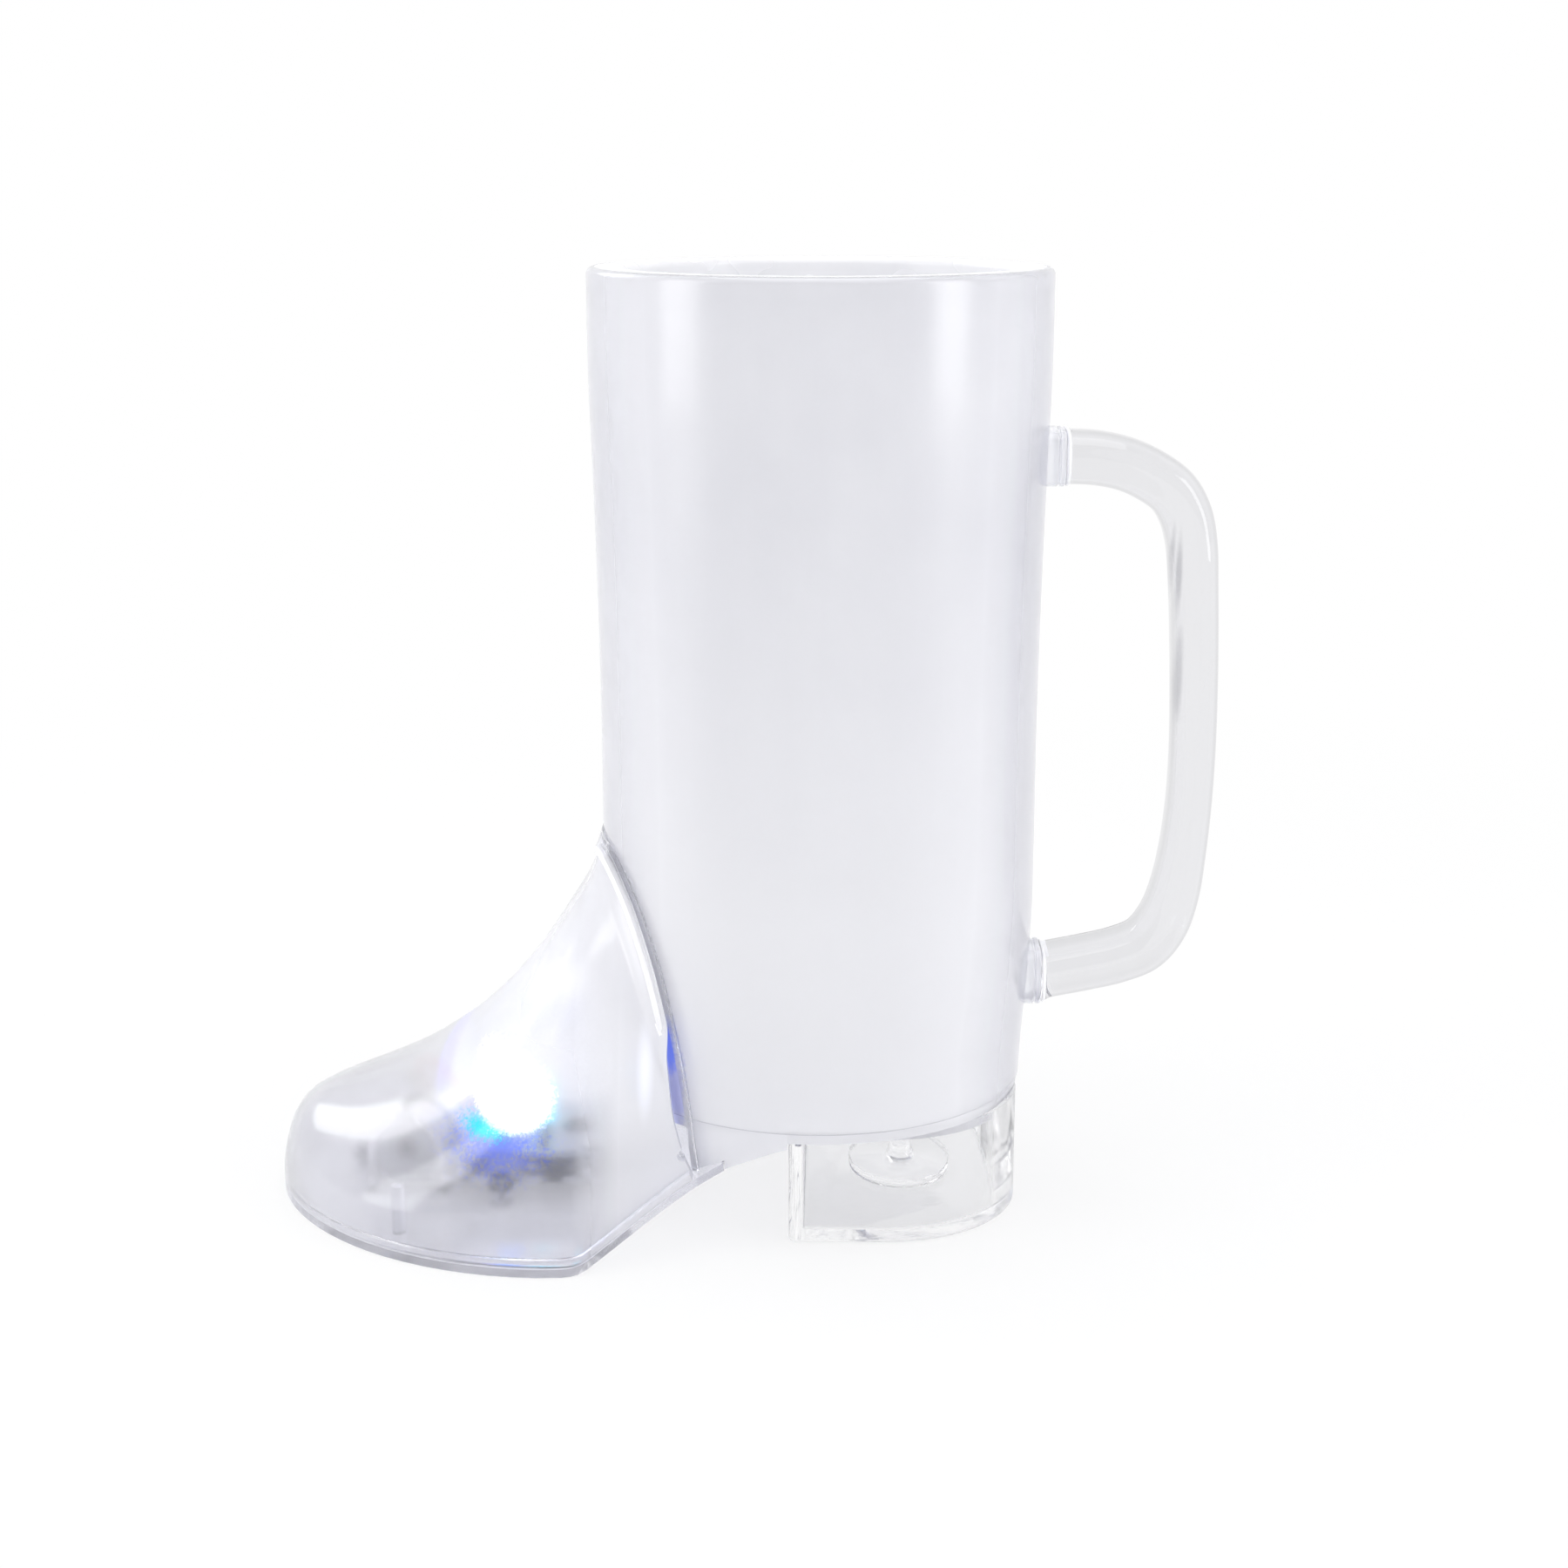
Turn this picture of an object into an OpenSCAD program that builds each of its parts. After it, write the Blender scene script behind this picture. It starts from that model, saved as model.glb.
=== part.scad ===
// Boot-shaped drinking mug with a double wall, a side handle and a battery light in its toe.
// Frame: +Z up, table at zero, the cup's axis is the Z axis, toe towards -X, handle towards +X.

/* [Cup] */
// Outer radius of the rim
rim_r = 40; // [37:0.5:44]
// Height of the rim above the table
rim_h = 167; // [158:1:180]
// Outer radius of the shaft at its waist
waist_r = 38.6; // [37:0.2:39.6]
// Outer radius of the shaft at its floor
floor_r = 36.7; // [35.6:0.1:38]
// Thickness of the outer wall
shell_wall = 2.1; // [1.6:0.1:2.6]
// Thickness of the floor of the outer shell
floor_t = 2; // [1.5:0.1:3]
// Width of the flat lip, from the inner cup's mouth to the outer wall
lip_w = 6.4; // [5:0.1:7.5]
// Height of the inner cup's lip
lip_t = 3.2; // [2.4:0.1:4.5]
// Depth of the rebate in the outer wall that carries the lip
lip_seat = 0.7; // [0.5:0.05:0.9]
// Rounding of the rim's corners
lip_round = 1.3; // [0.6:0.1:1.4]
// Thickness of the inner cup's wall
cup_wall = 1.8; // [1.4:0.1:2.2]
// Air gap between the two walls at the floor
cup_gap = 2.3; // [1.6:0.1:3]

/* [Heel] */
// Height of the heel, from the table to the shell's underside
heel_h = 21.3; // [19.5:0.1:23]
// Distance of the heel's front face from the cup's axis
breast_x = 5; // [3:0.1:8]
// Distance of the heel's back from the cup's axis
heel_back = 36; // [34:0.1:37]
// Half the width of the heel
heel_half = 29; // [26:0.1:31]
// Radius of the heel's back corners
heel_corner = 24; // [18:0.5:26]
// How far the shell steps in below its floor line
heel_step = 0.4; // [0.2:0.05:0.6]
// Thickness of the heel's side wall
heel_wall = 2.4; // [1.8:0.1:3]
// Thickness of the heel's bottom plate
heel_plate = 2.8; // [2:0.1:3.6]
// Radius of the round dimple in the heel's bottom
dimple_r = 9.7; // [7:0.1:11]
// Depth of that dimple
dimple_t = 0.9; // [0.5:0.1:1.4]
// Height of the moulding nub that stands on the dimple
nub_h = 4; // [2:0.1:6]
// Radius of that nub
nub_r = 1.8; // [1:0.1:3]

/* [Foot] */
// Distance of the toe's tip from the cup's axis
toe_x = 99; // [96:0.5:106]
// Distance of the ball of the foot from the cup's axis
ball_x = 46; // [44:0.5:49]
// Half the width of the foot at the ball
ball_half = 44.2; // [42:0.1:47]
// Half the width of the foot where it meets the shank
tuck_half = 33.2; // [32:0.1:34]
// Distance of the sole's rear end from the cup's axis
tuck_x = 16; // [14:0.5:18]
// Distance from the axis at which the arch leaves the table
arch_x = 40.6; // [39:0.1:42]
// Length over which the sole bends into the arch
arch_bend = 3; // [2:0.1:4]
// Height of the arch at the heel
arch_h = 20.2; // [18.5:0.1:20.6]
// Height at which the foot's hood leaves the shaft
instep_h = 67; // [63:0.5:74]
// Height of the toe's cap, where the hood starts to rise
toe_h = 20.5; // [20:0.1:24]
// Thickness of the hood's wall
hood_wall = 1.8; // [1.4:0.1:2.2]
// Width of the flange round the sole
flange_w = 1.9; // [1.4:0.1:2.6]
// Thickness of the hood's flange
flange_t = 1.2; // [0.9:0.1:1.6]
// Thickness of the sole plate
sole_t = 1.5; // [1.3:0.1:1.8]
// Width of the hood's rear welt
welt_w = 2.4; // [1.8:0.1:3]
// Height of the welt and of the shaft's rib above the shaft
welt_t = 1.5; // [1:0.1:2]
// Share of the welt's height that is left at the instep
welt_top_share = 0.3; // [0.2:0.05:1]
// Width of the shaft's rib behind the welt
rib_w = 1.2; // [0.8:0.1:1.8]
// Widest part of the open seam between the welt and the rib
seam_gap = 2; // [0.6:0.1:2.6]
// Radius of the round hole near the seam's foot
vent_r = 0.95; // [0.6:0.05:1.2]
// Height of that hole above the seam's foot
vent_lift = 5; // [3:0.1:7]

/* [Handle] */
// Height of the upper arm's middle above the table
arm_top = 134.6; // [126:0.2:142]
// Height of the lower arm's middle above the table
arm_low = 41; // [38:0.2:46]
// Distance of the grip's middle from the cup's axis
grip_x = 66.7; // [62:0.1:72]
// Thickness of the grip in the plane of the handle
grip_t = 7.6; // [6.5:0.1:9]
// Thickness of the arms in the plane of the handle
arm_t = 9.4; // [8:0.1:11]
// Width of the handle across its plane
grip_w = 13; // [10:0.1:16]
// Distance of the upper weld from the cup's axis
weld_top_x = 42.4; // [41.6:0.1:43.5]
// Distance of the lower weld from the cup's axis
weld_low_x = 40.3; // [39.6:0.1:41.5]
// Radius of the tenon at each end of the handle
tenon_r = 2.4; // [1.8:0.1:3]
// Length of that tenon
tenon_l = 2.2; // [1.5:0.1:2.6]

/* [Light unit] */
// Radius of one button cell
cell_r = 5.8; // [5.6:0.05:6]
// Thickness of one button cell
cell_t = 5.4; // [5.2:0.05:5.5]
// Number of button cells
cell_n = 3; // [2:1:3]
// Distance of the cells from the cup's axis
cell_x = 74.5; // [73.5:0.1:76]
// Wall of the cell cradle
cradle_wall = 1.2; // [0.9:0.1:1.5]
// Length of the circuit board
board_l = 28; // [26:0.1:28.5]
// Width of the circuit board
board_w = 26; // [24:0.1:28]
// Thickness of the circuit board
board_t = 1.2; // [0.8:0.1:1.6]
// Thickness of the carrier plate
carrier_t = 1.2; // [1:0.1:1.5]
// Height of the carrier plate above the sole
carrier_lift = 3; // [2.8:0.1:3.3]
// Radius of an indicator lamp's dome
lamp_r = 2.5; // [2:0.1:2.6]
// Height of a lamp
lamp_h = 8.6; // [7:0.1:9.5]
// Distance from the cup's axis to the middle of the lamps
lamp_x = 57; // [56:0.1:58]

/* [Button] */
// Radius of the button's face
button_r = 4.5; // [3.6:0.1:5]
// How far the button's face lies inside the sole
button_recess = 0.5; // [0.3:0.05:0.8]
// Travel of the button
button_travel = 0.75; // [0.5:0.05:0.8]
// Travel of the switch's plunger
plunger_travel = 0.25; // [0.15:0.05:0.3]
// Side of the square switch
switch_w = 6; // [5:0.1:6.4]
// Height of the switch body
switch_h = 3.5; // [3.1:0.1:4]
// Radius of the switch's plunger
plunger_r = 1.7; // [1.2:0.1:1.9]

/* [Battery door] */
// Thickness of the battery door
door_t = 0.8; // [0.6:0.05:0.9]
// Width of the door's ledge all round
door_ledge = 1.3; // [1:0.1:1.6]
// Thickness of the pad round the door opening
pad_t = 0.8; // [0.6:0.1:1.2]
// Thickness of the rubber seal under the door
seal_t = 0.15; // [0.1:0.05:0.2]

/* [Screws] */
// Radius of a screw's shank
screw_r = 0.8; // [0.7:0.02:0.9]
// Radius of a screw's head
head_r = 1.7; // [1.4:0.1:1.9]
// Height of a screw's head
head_t = 0.9; // [0.6:0.05:1.1]
// Length of a screw's shank
screw_l = 3.8; // [3.4:0.1:4.2]
// Wall of a screw boss
boss_wall = 1.3; // [1:0.1:1.5]

/* [Fits] */
// Gap between a moving piece and what it slides in
slide_gap = 0.3; // [0.2:0.05:0.35]
// Running gap round the plunger and the screws
run_gap = 0.05; // [0.02:0.01:0.08]
// Gap between pieces that only lie side by side
lay_gap = 0.1; // [0.05:0.01:0.2]

/* [Hidden] */
$fn = 96;

// One overrun for every cut
over = rim_r / 20;
big = 2 * (rim_h + toe_x);
hull_fn = 32;

// Colours, as the photo shows them
frost = [0.90, 0.90, 0.94, 0.75];
clear = [0.93, 0.94, 0.95, 0.45];

// Cup: heights and radii of the shaft's outer outline, as shares from the floor up
shaft_low = heel_h + floor_t;
shaft_span = rim_h - shaft_low;
lip_z = rim_h - lip_t;
// Share of the shaft's height, then share of the way from the waist's radius to the floor's
foot_shares = [[0, 1], [0.05, 0.8], [0.1, 0.5], [0.16, 0.2], [0.24, 0]];
// Share of the shaft's height, then share of the way from the waist's radius to the rim's
rim_shares = [[0.42, 0], [0.55, 0.12], [0.68, 0.38], [0.78, 0.66], [0.87, 0.94], [0.93, 1]];
shaft_line = concat(
    [for (s = foot_shares) [waist_r + (floor_r - waist_r) * s[1], shaft_low + shaft_span * s[0]]],
    [for (s = rim_shares) [waist_r + (rim_r - waist_r) * s[1], shaft_low + shaft_span * s[0]]],
    [for (a = [0 : 15 : 90]) [rim_r - lip_round * (1 - cos(a)), rim_h - lip_round * (1 - sin(a))]]);
function shaft_r(z, i = 0) = z <= shaft_line[0][1] ? floor_r
    : i >= len(shaft_line) - 1 ? rim_r
    : z <= shaft_line[i + 1][1]
    ? shaft_line[i][0] + (shaft_line[i + 1][0] - shaft_line[i][0])
        * (z - shaft_line[i][1]) / (shaft_line[i + 1][1] - shaft_line[i][1])
    : shaft_r(z, i + 1);

// Inner cup
seat_r = rim_r - shell_wall + lip_seat;
mouth_r = rim_r - lip_w;
cup_low = shaft_low + cup_gap;
cup_foot_r = min(floor_r, waist_r) - shell_wall - cup_gap;
cup_bend = cup_wall * 3;

// Foot: outline of the sole and of the arch
tip_power = 0.6;
arch_power = 1.2;
sole_steps = 28;
function ease(s) = s * s * (3 - 2 * s);
function sole_half(x) = x < -ball_x
    ? ball_half * pow(max(0, 1 - pow((x + ball_x) / (toe_x - ball_x), 2)), tip_power)
    : ball_half - (ball_half - tuck_half) * ease(min(1, (x + ball_x) / (ball_x - tuck_x)));
// Past the knee the arch is a power curve up to the heel; the knee itself is a soft bend
function arch_curve(run) = arch_h * (1 - pow(1 - min(1, run / (arch_x - breast_x)), arch_power));
function arch_z(x) = let (run = x + arch_x)
    run <= -arch_bend / 2 ? 0
    : run < arch_bend / 2 ? arch_curve(arch_bend / 2) * pow((run + arch_bend / 2) / arch_bend, 2)
    : arch_curve(run);
arch_start = arch_x + arch_bend / 2;

// Hood: slices from the tip to the seam. Shares of the toe's reach at the slice's foot and at its top, its
// height, power of its rounding, and share of the rounded height that is cut away. The height counts
// 0 to 1 up to the toe's cap and 1 to 2 from there to the instep
hood_low = sole_t + flange_t;
hood_shares = [
    [0.999, 0.999, 0.163, 2.35, 0], [0.996, 0.996, 0.288, 2.35, 0], [0.99, 0.99, 0.418, 2.35, 0],
    [0.976, 0.976, 0.647, 2.35, 0], [0.955, 0.955, 0.784, 2.35, 0], [0.925, 0.925, 0.863, 2.35, 0],
    [0.88, 0.882, 0.928, 2.35, 0], [0.82, 0.826, 1, 2.35, 0], [0.75, 0.765, 1.045, 2.35, 0],
    [0.68, 0.705, 1.115, 2.35, 0], [0.61, 0.645, 1.206, 2.35, 0], [0.54, 0.59, 1.317, 2.35, 0],
    [0.475, 0.54, 1.441, 2.3, 0], [0.415, 0.495, 1.571, 2.2, 0.003], [0.36, 0.458, 1.689, 2.1, 0.008],
    [0.305, 0.423, 1.805, 1.95, 0.025], [0.25, 0.401, 1.909, 1.8, 0.06], [0.202, 0.389, 2, 1.7, 0.0975],
    [0.155, 0.345, 2.058, 1.7, 0.0975], [0.11, 0.3, 2.086, 1.7, 0.0975]];
section_steps = 12;
function hood_z(share) = share <= 1 ? toe_h * share : toe_h + (instep_h - toe_h) * (share - 1);
// Half-width of a slice at its foot: the sole's outline within the flange, or the shaft's skin
// where that is wider
function foot_half(x) = let (skin = floor_r + hood_wall + lay_gap)
    max(sole_half(-x) - flange_w * (1 - x / toe_x), x < floor_r ? sqrt(skin * skin - x * x) : 0);
// Ring of points round one slice of the foot, smaller by the given inset
function foot_ring(k, inset) =
    let (s = hood_shares[k], at = -toe_x * s[0],
         from = [at + inset * max(0, 1 - k / 8), arch_z(at) + hood_low],
         top = [-toe_x * s[1], hood_z(s[2])] - [at - from[0], 0], run = top - from,
         up = run / norm(run), length = max(over / 10, norm(run) - inset),
         foot = max(over / 10, foot_half(-at) - inset), cut = min(1 - s[4], 0.999),
         turn = asin(pow(cut, s[3] / 2)),
         half = [for (i = [0 : section_steps]) let (share = pow(sin(turn * i / section_steps), 2 / s[3]))
                 [foot * pow(max(0, 1 - pow(share, s[3])), 1 / s[3]), length * share / cut]],
         side = concat(inset > 0 ? [[foot, -2 * hood_low]] : [], half))
    [for (p = side) [from[0] + up[0] * p[1], p[0], from[1] + up[1] * p[1]],
     for (i = [len(side) - 1 : -1 : 0]) let (p = side[i])
         [from[0] + up[0] * p[1], -p[0], from[1] + up[1] * p[1]]];

// Seam between hood and shaft: share of the shaft's radius in front of the axis, share of the
// instep's height
seam_shares = [[1.06, 1.01], [1.02, 1.003], [0.98, 0.987], [0.94, 0.960], [0.90, 0.925], [0.865, 0.888],
               [0.83, 0.843], [0.765, 0.74], [0.71, 0.62], [0.665, 0.50], [0.63, 0.38], [0.605, 0.27],
               [0.58, 0.19], [0.53, 0.10]];
// Bow of the open seam at each of those points
bow_shares = [0, 0, 0, 0, 0, 0, 0, 0, 0, 0.75, 1, 0.55, 0, 0];
seam_foot = -floor_r * 0.55;
seam_line = [for (s = seam_shares) [-floor_r * s[0], instep_h * s[1]]];

// Handle: middle line from the upper weld to the lower one. Shares of the way out to the grip,
// of the way down between the arms, and of the way from the grip's thickness to the arms'
handle_shares = [[0.00, 0.000, 1.0], [0.23, 0.001, 1.0], [0.44, 0.008, 0.95], [0.63, 0.026, 0.9],
                 [0.785, 0.056, 0.8], [0.885, 0.099, 0.65], [0.940, 0.160, 0.45], [0.970, 0.25, 0.2],
                 [0.99, 0.35, 0.05], [1.00, 0.46, 0], [1.00, 0.57, 0], [0.985, 0.67, 0.05],
                 [0.955, 0.76, 0.2], [0.910, 0.838, 0.45], [0.835, 0.900, 0.7], [0.71, 0.942, 0.85],
                 [0.53, 0.966, 0.95], [0.30, 0.983, 1.0], [0.00, 1.000, 1.0]];
function weld_x(share) = weld_top_x + (weld_low_x - weld_top_x) * share;
handle_line = [for (s = handle_shares) [weld_x(s[1]) + (grip_x - weld_x(s[1])) * s[0],
                                        arm_top + (arm_low - arm_top) * s[1],
                                        grip_t + (arm_t - grip_t) * s[2]]];
handle_power = 2.6;
handle_sides = 24;

// Light unit: heights and places
stack_l = cell_n * cell_t;
leaf_t = 0.3 * cell_r / 5.8;
leaf_w = 0.6 * cell_r;
bump_t = 0.09 * cell_r;
cell_low = sole_t + pad_t + lay_gap;
cell_z = cell_low + cell_r;
cradle_r = cell_r + lay_gap + cradle_wall;
cradle_y = stack_l / 2 + bump_t + leaf_t + lay_gap;
carrier_z = sole_t + carrier_lift;
carrier_top = carrier_z + carrier_t;
switch_z = carrier_top + lay_gap;
board_z = switch_z + switch_h;
board_top = board_z + board_t;
board_front = cell_x - cradle_r - lay_gap * 4;
board_rear = board_front - board_l;
post_r = screw_r + boss_wall;
post_in = post_r + lay_gap;
pilot_r = screw_r + run_gap;
hole_r = screw_r + 2 * run_gap;
head_gap = head_r + 2 * run_gap;
ear_y = board_w / 2 + post_r + lay_gap;
ears = [[-lamp_x, -ear_y], [-lamp_x, ear_y], [-cell_x - cradle_r - post_r, 0]];
board_posts = [for (x = [board_front - post_in, board_rear + post_in])
               for (y = [-1, 1]) [-x, y * (board_w / 2 - post_in)]];
plunger_low = carrier_z + carrier_t / 5;
bore_up = plunger_r;
button_flange = button_r * 1.45;
button_x = arch_start + button_flange + 2 * lay_gap;
flange_h = sole_t / 2;
button_gap = button_travel - plunger_travel + run_gap;
post_low = sole_t + run_gap;
button_post_top = plunger_low - button_gap;
stop_z = post_low + flange_h + button_travel + run_gap;
peg_r = screw_r * 1.5;
peg_x = cell_x - 1.2 * peg_r;
peg_y = sole_half(-peg_x) * 0.77;
peg_top = cell_z + cell_r / 3;

// Battery door: opening, ledge and screw
well_x = cell_r + 2 * lay_gap;
well_y = cradle_y + lay_gap;
door_x = well_x + door_ledge;
door_y = well_y + door_ledge;
door_gap = run_gap * 3;
door_low = lay_gap;
rebate_t = door_low + door_t + seal_t;
dish_r = head_gap + boss_wall / 2;
dish_top = door_low + head_t + 2 * lay_gap + door_t;
door_screw_x = cell_x - door_x - dish_r;
door_boss_r = dish_r + door_gap + boss_wall / 2;

// Shaft and shell

// Outside of the shaft as a solid, stepped in below its floor line
module shaft_solid() {
    rotate_extrude() polygon(concat([[0, 0], [floor_r - heel_step, 0], [floor_r - heel_step, shaft_low]],
                                    shaft_line, [[0, rim_h]]));
}

// Room inside the outer wall, with the seat for the lip
module shaft_room() {
    rotate_extrude() polygon(concat([[0, shaft_low]], [for (p = shaft_line) if (p[1] < lip_z)
                                        [p[0] - shell_wall, p[1]]],
                                    [[rim_r - shell_wall, lip_z], [seat_r, lip_z], [seat_r, rim_h + over],
                                     [0, rim_h + over]]));
}

// Side outline swept across the whole width
module across(points) {
    rotate([90, 0, 0]) linear_extrude(big, center = true) polygon(points);
}

arch_steps = 20;
function arch_points(from, to, lift = 0) = [
    for (i = [0 : arch_steps]) let (x = from + (to - from) * i / arch_steps) [x, arch_z(x) + lift]];

lap_t = sole_t + lay_gap;
shank_front = -floor_r * 0.6;

// What stays of the shaft below its floor: the shank, whose underside is the arch
module shank_outline() {
    across(concat([[shank_front, heel_h + over]], [[shank_front, arch_z(shank_front) + lap_t]],
                  arch_points(shank_front, -tuck_x, lap_t),
                  arch_points(-tuck_x, -breast_x - lay_gap),
                  [[-breast_x - lay_gap, heel_h + over]]));
}

module shank_hollow() {
    intersection() {
        translate([0, 0, -over]) cylinder(r = floor_r - heel_step - shell_wall, h = heel_h + over);
        across(concat([[shank_front - over, heel_h]],
                      [[shank_front - over, arch_z(shank_front) + lap_t + shell_wall]],
                      arch_points(shank_front, -tuck_x, lap_t + shell_wall),
                      arch_points(-tuck_x, -breast_x - shell_wall, lap_t + shell_wall),
                      [[-breast_x - shell_wall, heel_h]]));
    }
}

// Direction across the seam at one of its points, towards the hood
function seam_normal(i) = let (last = len(seam_line) - 1, a = seam_line[max(0, i - 1)],
                               b = seam_line[min(last, i + 1)], t = (b - a) / norm(b - a)) [t[1], -t[0]];
// Strip along the seam in side view: from the line, so far back and so far towards the hood
function strip(back, front, bow = 0) = concat(
    [for (i = [0 : len(seam_line) - 1]) seam_line[i] - back * seam_normal(i)],
    [for (i = [len(seam_line) - 1 : -1 : 0])
        seam_line[i] + front * seam_normal(i) - [bow * bow_shares[i], 0]]);

// Ring that lies on the shaft's outside and thins out towards the instep
skin_steps = 10;
function skin_t(z, t) = t * (1 - (1 - welt_top_share) * pow(max(0, z / instep_h - 0.5) * 2, 2));
module skin(from, to, low, high) {
    rows = [for (i = [0 : skin_steps]) low + (high - low) * i / skin_steps];
    rotate_extrude()
        polygon(concat([for (z = rows) [shaft_r(z) + skin_t(z, to), z]],
                       [for (i = [skin_steps : -1 : 0]) [shaft_r(rows[i]) + from, rows[i]]]));
}

module seam_rib() {
    intersection() {
        skin(-shell_wall / 2, welt_t, arch_z(seam_foot) + lap_t, instep_h * 1.04);
        across(strip(rib_w, 0));
        translate([-big / 2, 0, 0]) cube([big, big, big], center = true);
    }
}

module stub(z, x, t) {
    intersection() {
        translate([0, 0, z]) rotate([0, 90, 0]) linear_extrude(x) stub_face(t);
        translate([floor_r - shell_wall / 2, -grip_w, z - t]) cube([big, 2 * grip_w, 2 * t]);
    }
}

module stub_face(t) {
    r = t / 3;
    for (a = [-1, 1]) for (b = [-1, 1])
        translate([a * (t / 2 - r), b * (grip_w / 2 - r)]) circle(r);
    square([t, grip_w - 2 * r], center = true);
    square([t - 2 * r, grip_w], center = true);
}

module shaft_shell() color(frost) {
    difference() {
        union() {
            difference() {
                shaft_solid();
                difference() {
                    translate([-big / 2, -big / 2, -big]) cube([big, big, big + heel_h]);
                    shank_outline();
                }
                shaft_room();
                shank_hollow();
            }
            seam_rib();
            difference() {
                union() {
                    stub(arm_top, weld_top_x, arm_t * 1.06);
                    stub(arm_low, weld_low_x, arm_t * 1.1);
                }
                shaft_room();
            }
        }
        for (p = [[arm_top, weld_top_x], [arm_low, weld_low_x]])
            translate([p[1] - tenon_l - 2 * lay_gap, 0, p[0]]) rotate([0, 90, 0])
                cylinder(r = tenon_r + run_gap, h = tenon_l + over);
    }
    heel_spigot();
}

// Low wall under the floor that locates the heel
module heel_spigot() {
    translate([0, 0, heel_h - heel_plate]) linear_extrude(heel_plate + floor_t / 2) difference() {
        heel_outline(heel_wall + lay_gap);
        heel_outline(2 * heel_wall + lay_gap);
    }
}

module heel_outline(inset = 0) {
    intersection() {
        union() {
            for (side = [-1, 1])
                translate([heel_back - heel_corner, side * (heel_half - heel_corner)])
                    circle(heel_corner - inset);
            translate([-heel_back, -heel_half + inset])
                square([2 * heel_back - heel_corner, 2 * (heel_half - inset)]);
            translate([-heel_back, -heel_half + heel_corner])
                square([2 * heel_back - inset, 2 * (heel_half - heel_corner)]);
        }
        translate([-breast_x + inset, -heel_half]) square([2 * heel_back, 2 * heel_half]);
    }
}

module heel_block() color(clear) {
    mid = (heel_back - breast_x) / 2;
    difference() {
        linear_extrude(heel_h) heel_outline();
        translate([0, 0, heel_plate]) linear_extrude(heel_h) heel_outline(heel_wall);
        translate([mid, 0, -over]) cylinder(r = dimple_r, h = dimple_t + over);
    }
    translate([mid, 0, heel_plate]) cylinder(r = dimple_r, h = dimple_t);
    translate([mid, 0, heel_plate + dimple_t]) cylinder(r1 = nub_r * 1.4, r2 = nub_r, h = nub_h);
}

module inner_cup() color(frost) {
    lip_r = seat_r - lay_gap / 2;
    rotate_extrude() difference() {
        union() {
            polygon([[0, cup_low], [cup_foot_r - cup_bend, cup_low], [cup_foot_r, cup_low + cup_bend],
                     [mouth_r + cup_wall, lip_z], [lip_r, lip_z], [lip_r, rim_h],
                     [mouth_r + lip_round, rim_h], [mouth_r + lip_round, rim_h - lip_round],
                     [mouth_r, rim_h - lip_round], [0, rim_h - lip_round]]);
            translate([mouth_r + lip_round, rim_h - lip_round]) circle(lip_round);
            translate([cup_foot_r - cup_bend, cup_low + cup_bend]) circle(cup_bend);
            translate([cup_foot_r - cup_bend - cup_wall, shaft_low])
                square([cup_wall, cup_gap + cup_wall]);
        }
        polygon([[-over, cup_low + cup_wall], [cup_foot_r - cup_bend, cup_low + cup_wall],
                 [cup_foot_r - cup_wall, cup_low + cup_bend], [mouth_r, lip_z],
                 [mouth_r, rim_h - lip_round], [mouth_r, rim_h - lip_round / 2],
                 [-over, rim_h - lip_round / 2]]);
        translate([cup_foot_r - cup_bend, cup_low + cup_bend]) circle(cup_bend - cup_wall);
        translate([-over, rim_h - lip_round]) square([mouth_r + over, lip_round + over]);
        translate([-big, 0]) square([big, big]);
    }
}

// Handle

// Solid through a row of rings that all have the same number of points
module loft(rings) {
    n = len(rings[0]);
    last = n * (len(rings) - 1);
    polyhedron([for (r = rings) each r],
               [for (i = [0 : len(rings) - 2], k = [0 : n - 1], half = [0, 1])
                    let (a = n * i + k, b = n * i + (k + 1) % n)
                    half == 0 ? [a, b + n, b] : [a, a + n, b + n],
                for (k = [1 : n - 2]) [0, k, k + 1],
                for (k = [1 : n - 2]) [last, last + k + 1, last + k]]);
}

// Ring of points round one slice of the handle
function handle_ring(i) =
    let (p = handle_line[i], last = len(handle_line) - 1, a = handle_line[max(0, i - 1)],
         b = handle_line[min(last, i + 1)],
         turn = i == 0 ? 0 : i == last ? 180 : atan2(b[1] - a[1], b[0] - a[0]))
    [for (k = [0 : handle_sides - 1])
        let (c = cos(360 * k / handle_sides), s = sin(360 * k / handle_sides),
             across = sign(c) * grip_w / 2 * pow(abs(c), 2 / handle_power),
             out = sign(s) * p[2] / 2 * pow(abs(s), 2 / handle_power))
        [p[0] - sin(turn) * out, across, p[1] + cos(turn) * out]];

module handle() color(clear) {
    loft([for (i = [0 : len(handle_line) - 1]) handle_ring(i)]);
    for (p = [[arm_top, weld_top_x], [arm_low, weld_low_x]])
        translate([p[1] - tenon_l, 0, p[0]]) rotate([0, 90, 0])
            cylinder(r = tenon_r, h = tenon_l + over);
}

// Foot

// Solid foot, from the toe to inside the shaft, smaller by the given inset
module foot_solid(inset) {
    loft([for (k = [0 : len(hood_shares) - 1]) foot_ring(k, inset)]);
}

// Plan outline of the sole, wider or narrower by the given amount
module sole_outline(grow, rear) {
    side = [for (i = [0 : sole_steps]) let (a = 90 * i / sole_steps, x = -rear - (toe_x - rear) * sin(a))
            [x - grow * pow(sin(a), 4), max(0, sole_half(x) + grow)]];
    polygon(concat(side, [for (i = [sole_steps - 1 : -1 : 0]) [side[i][0], -side[i][1]]]));
}

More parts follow.
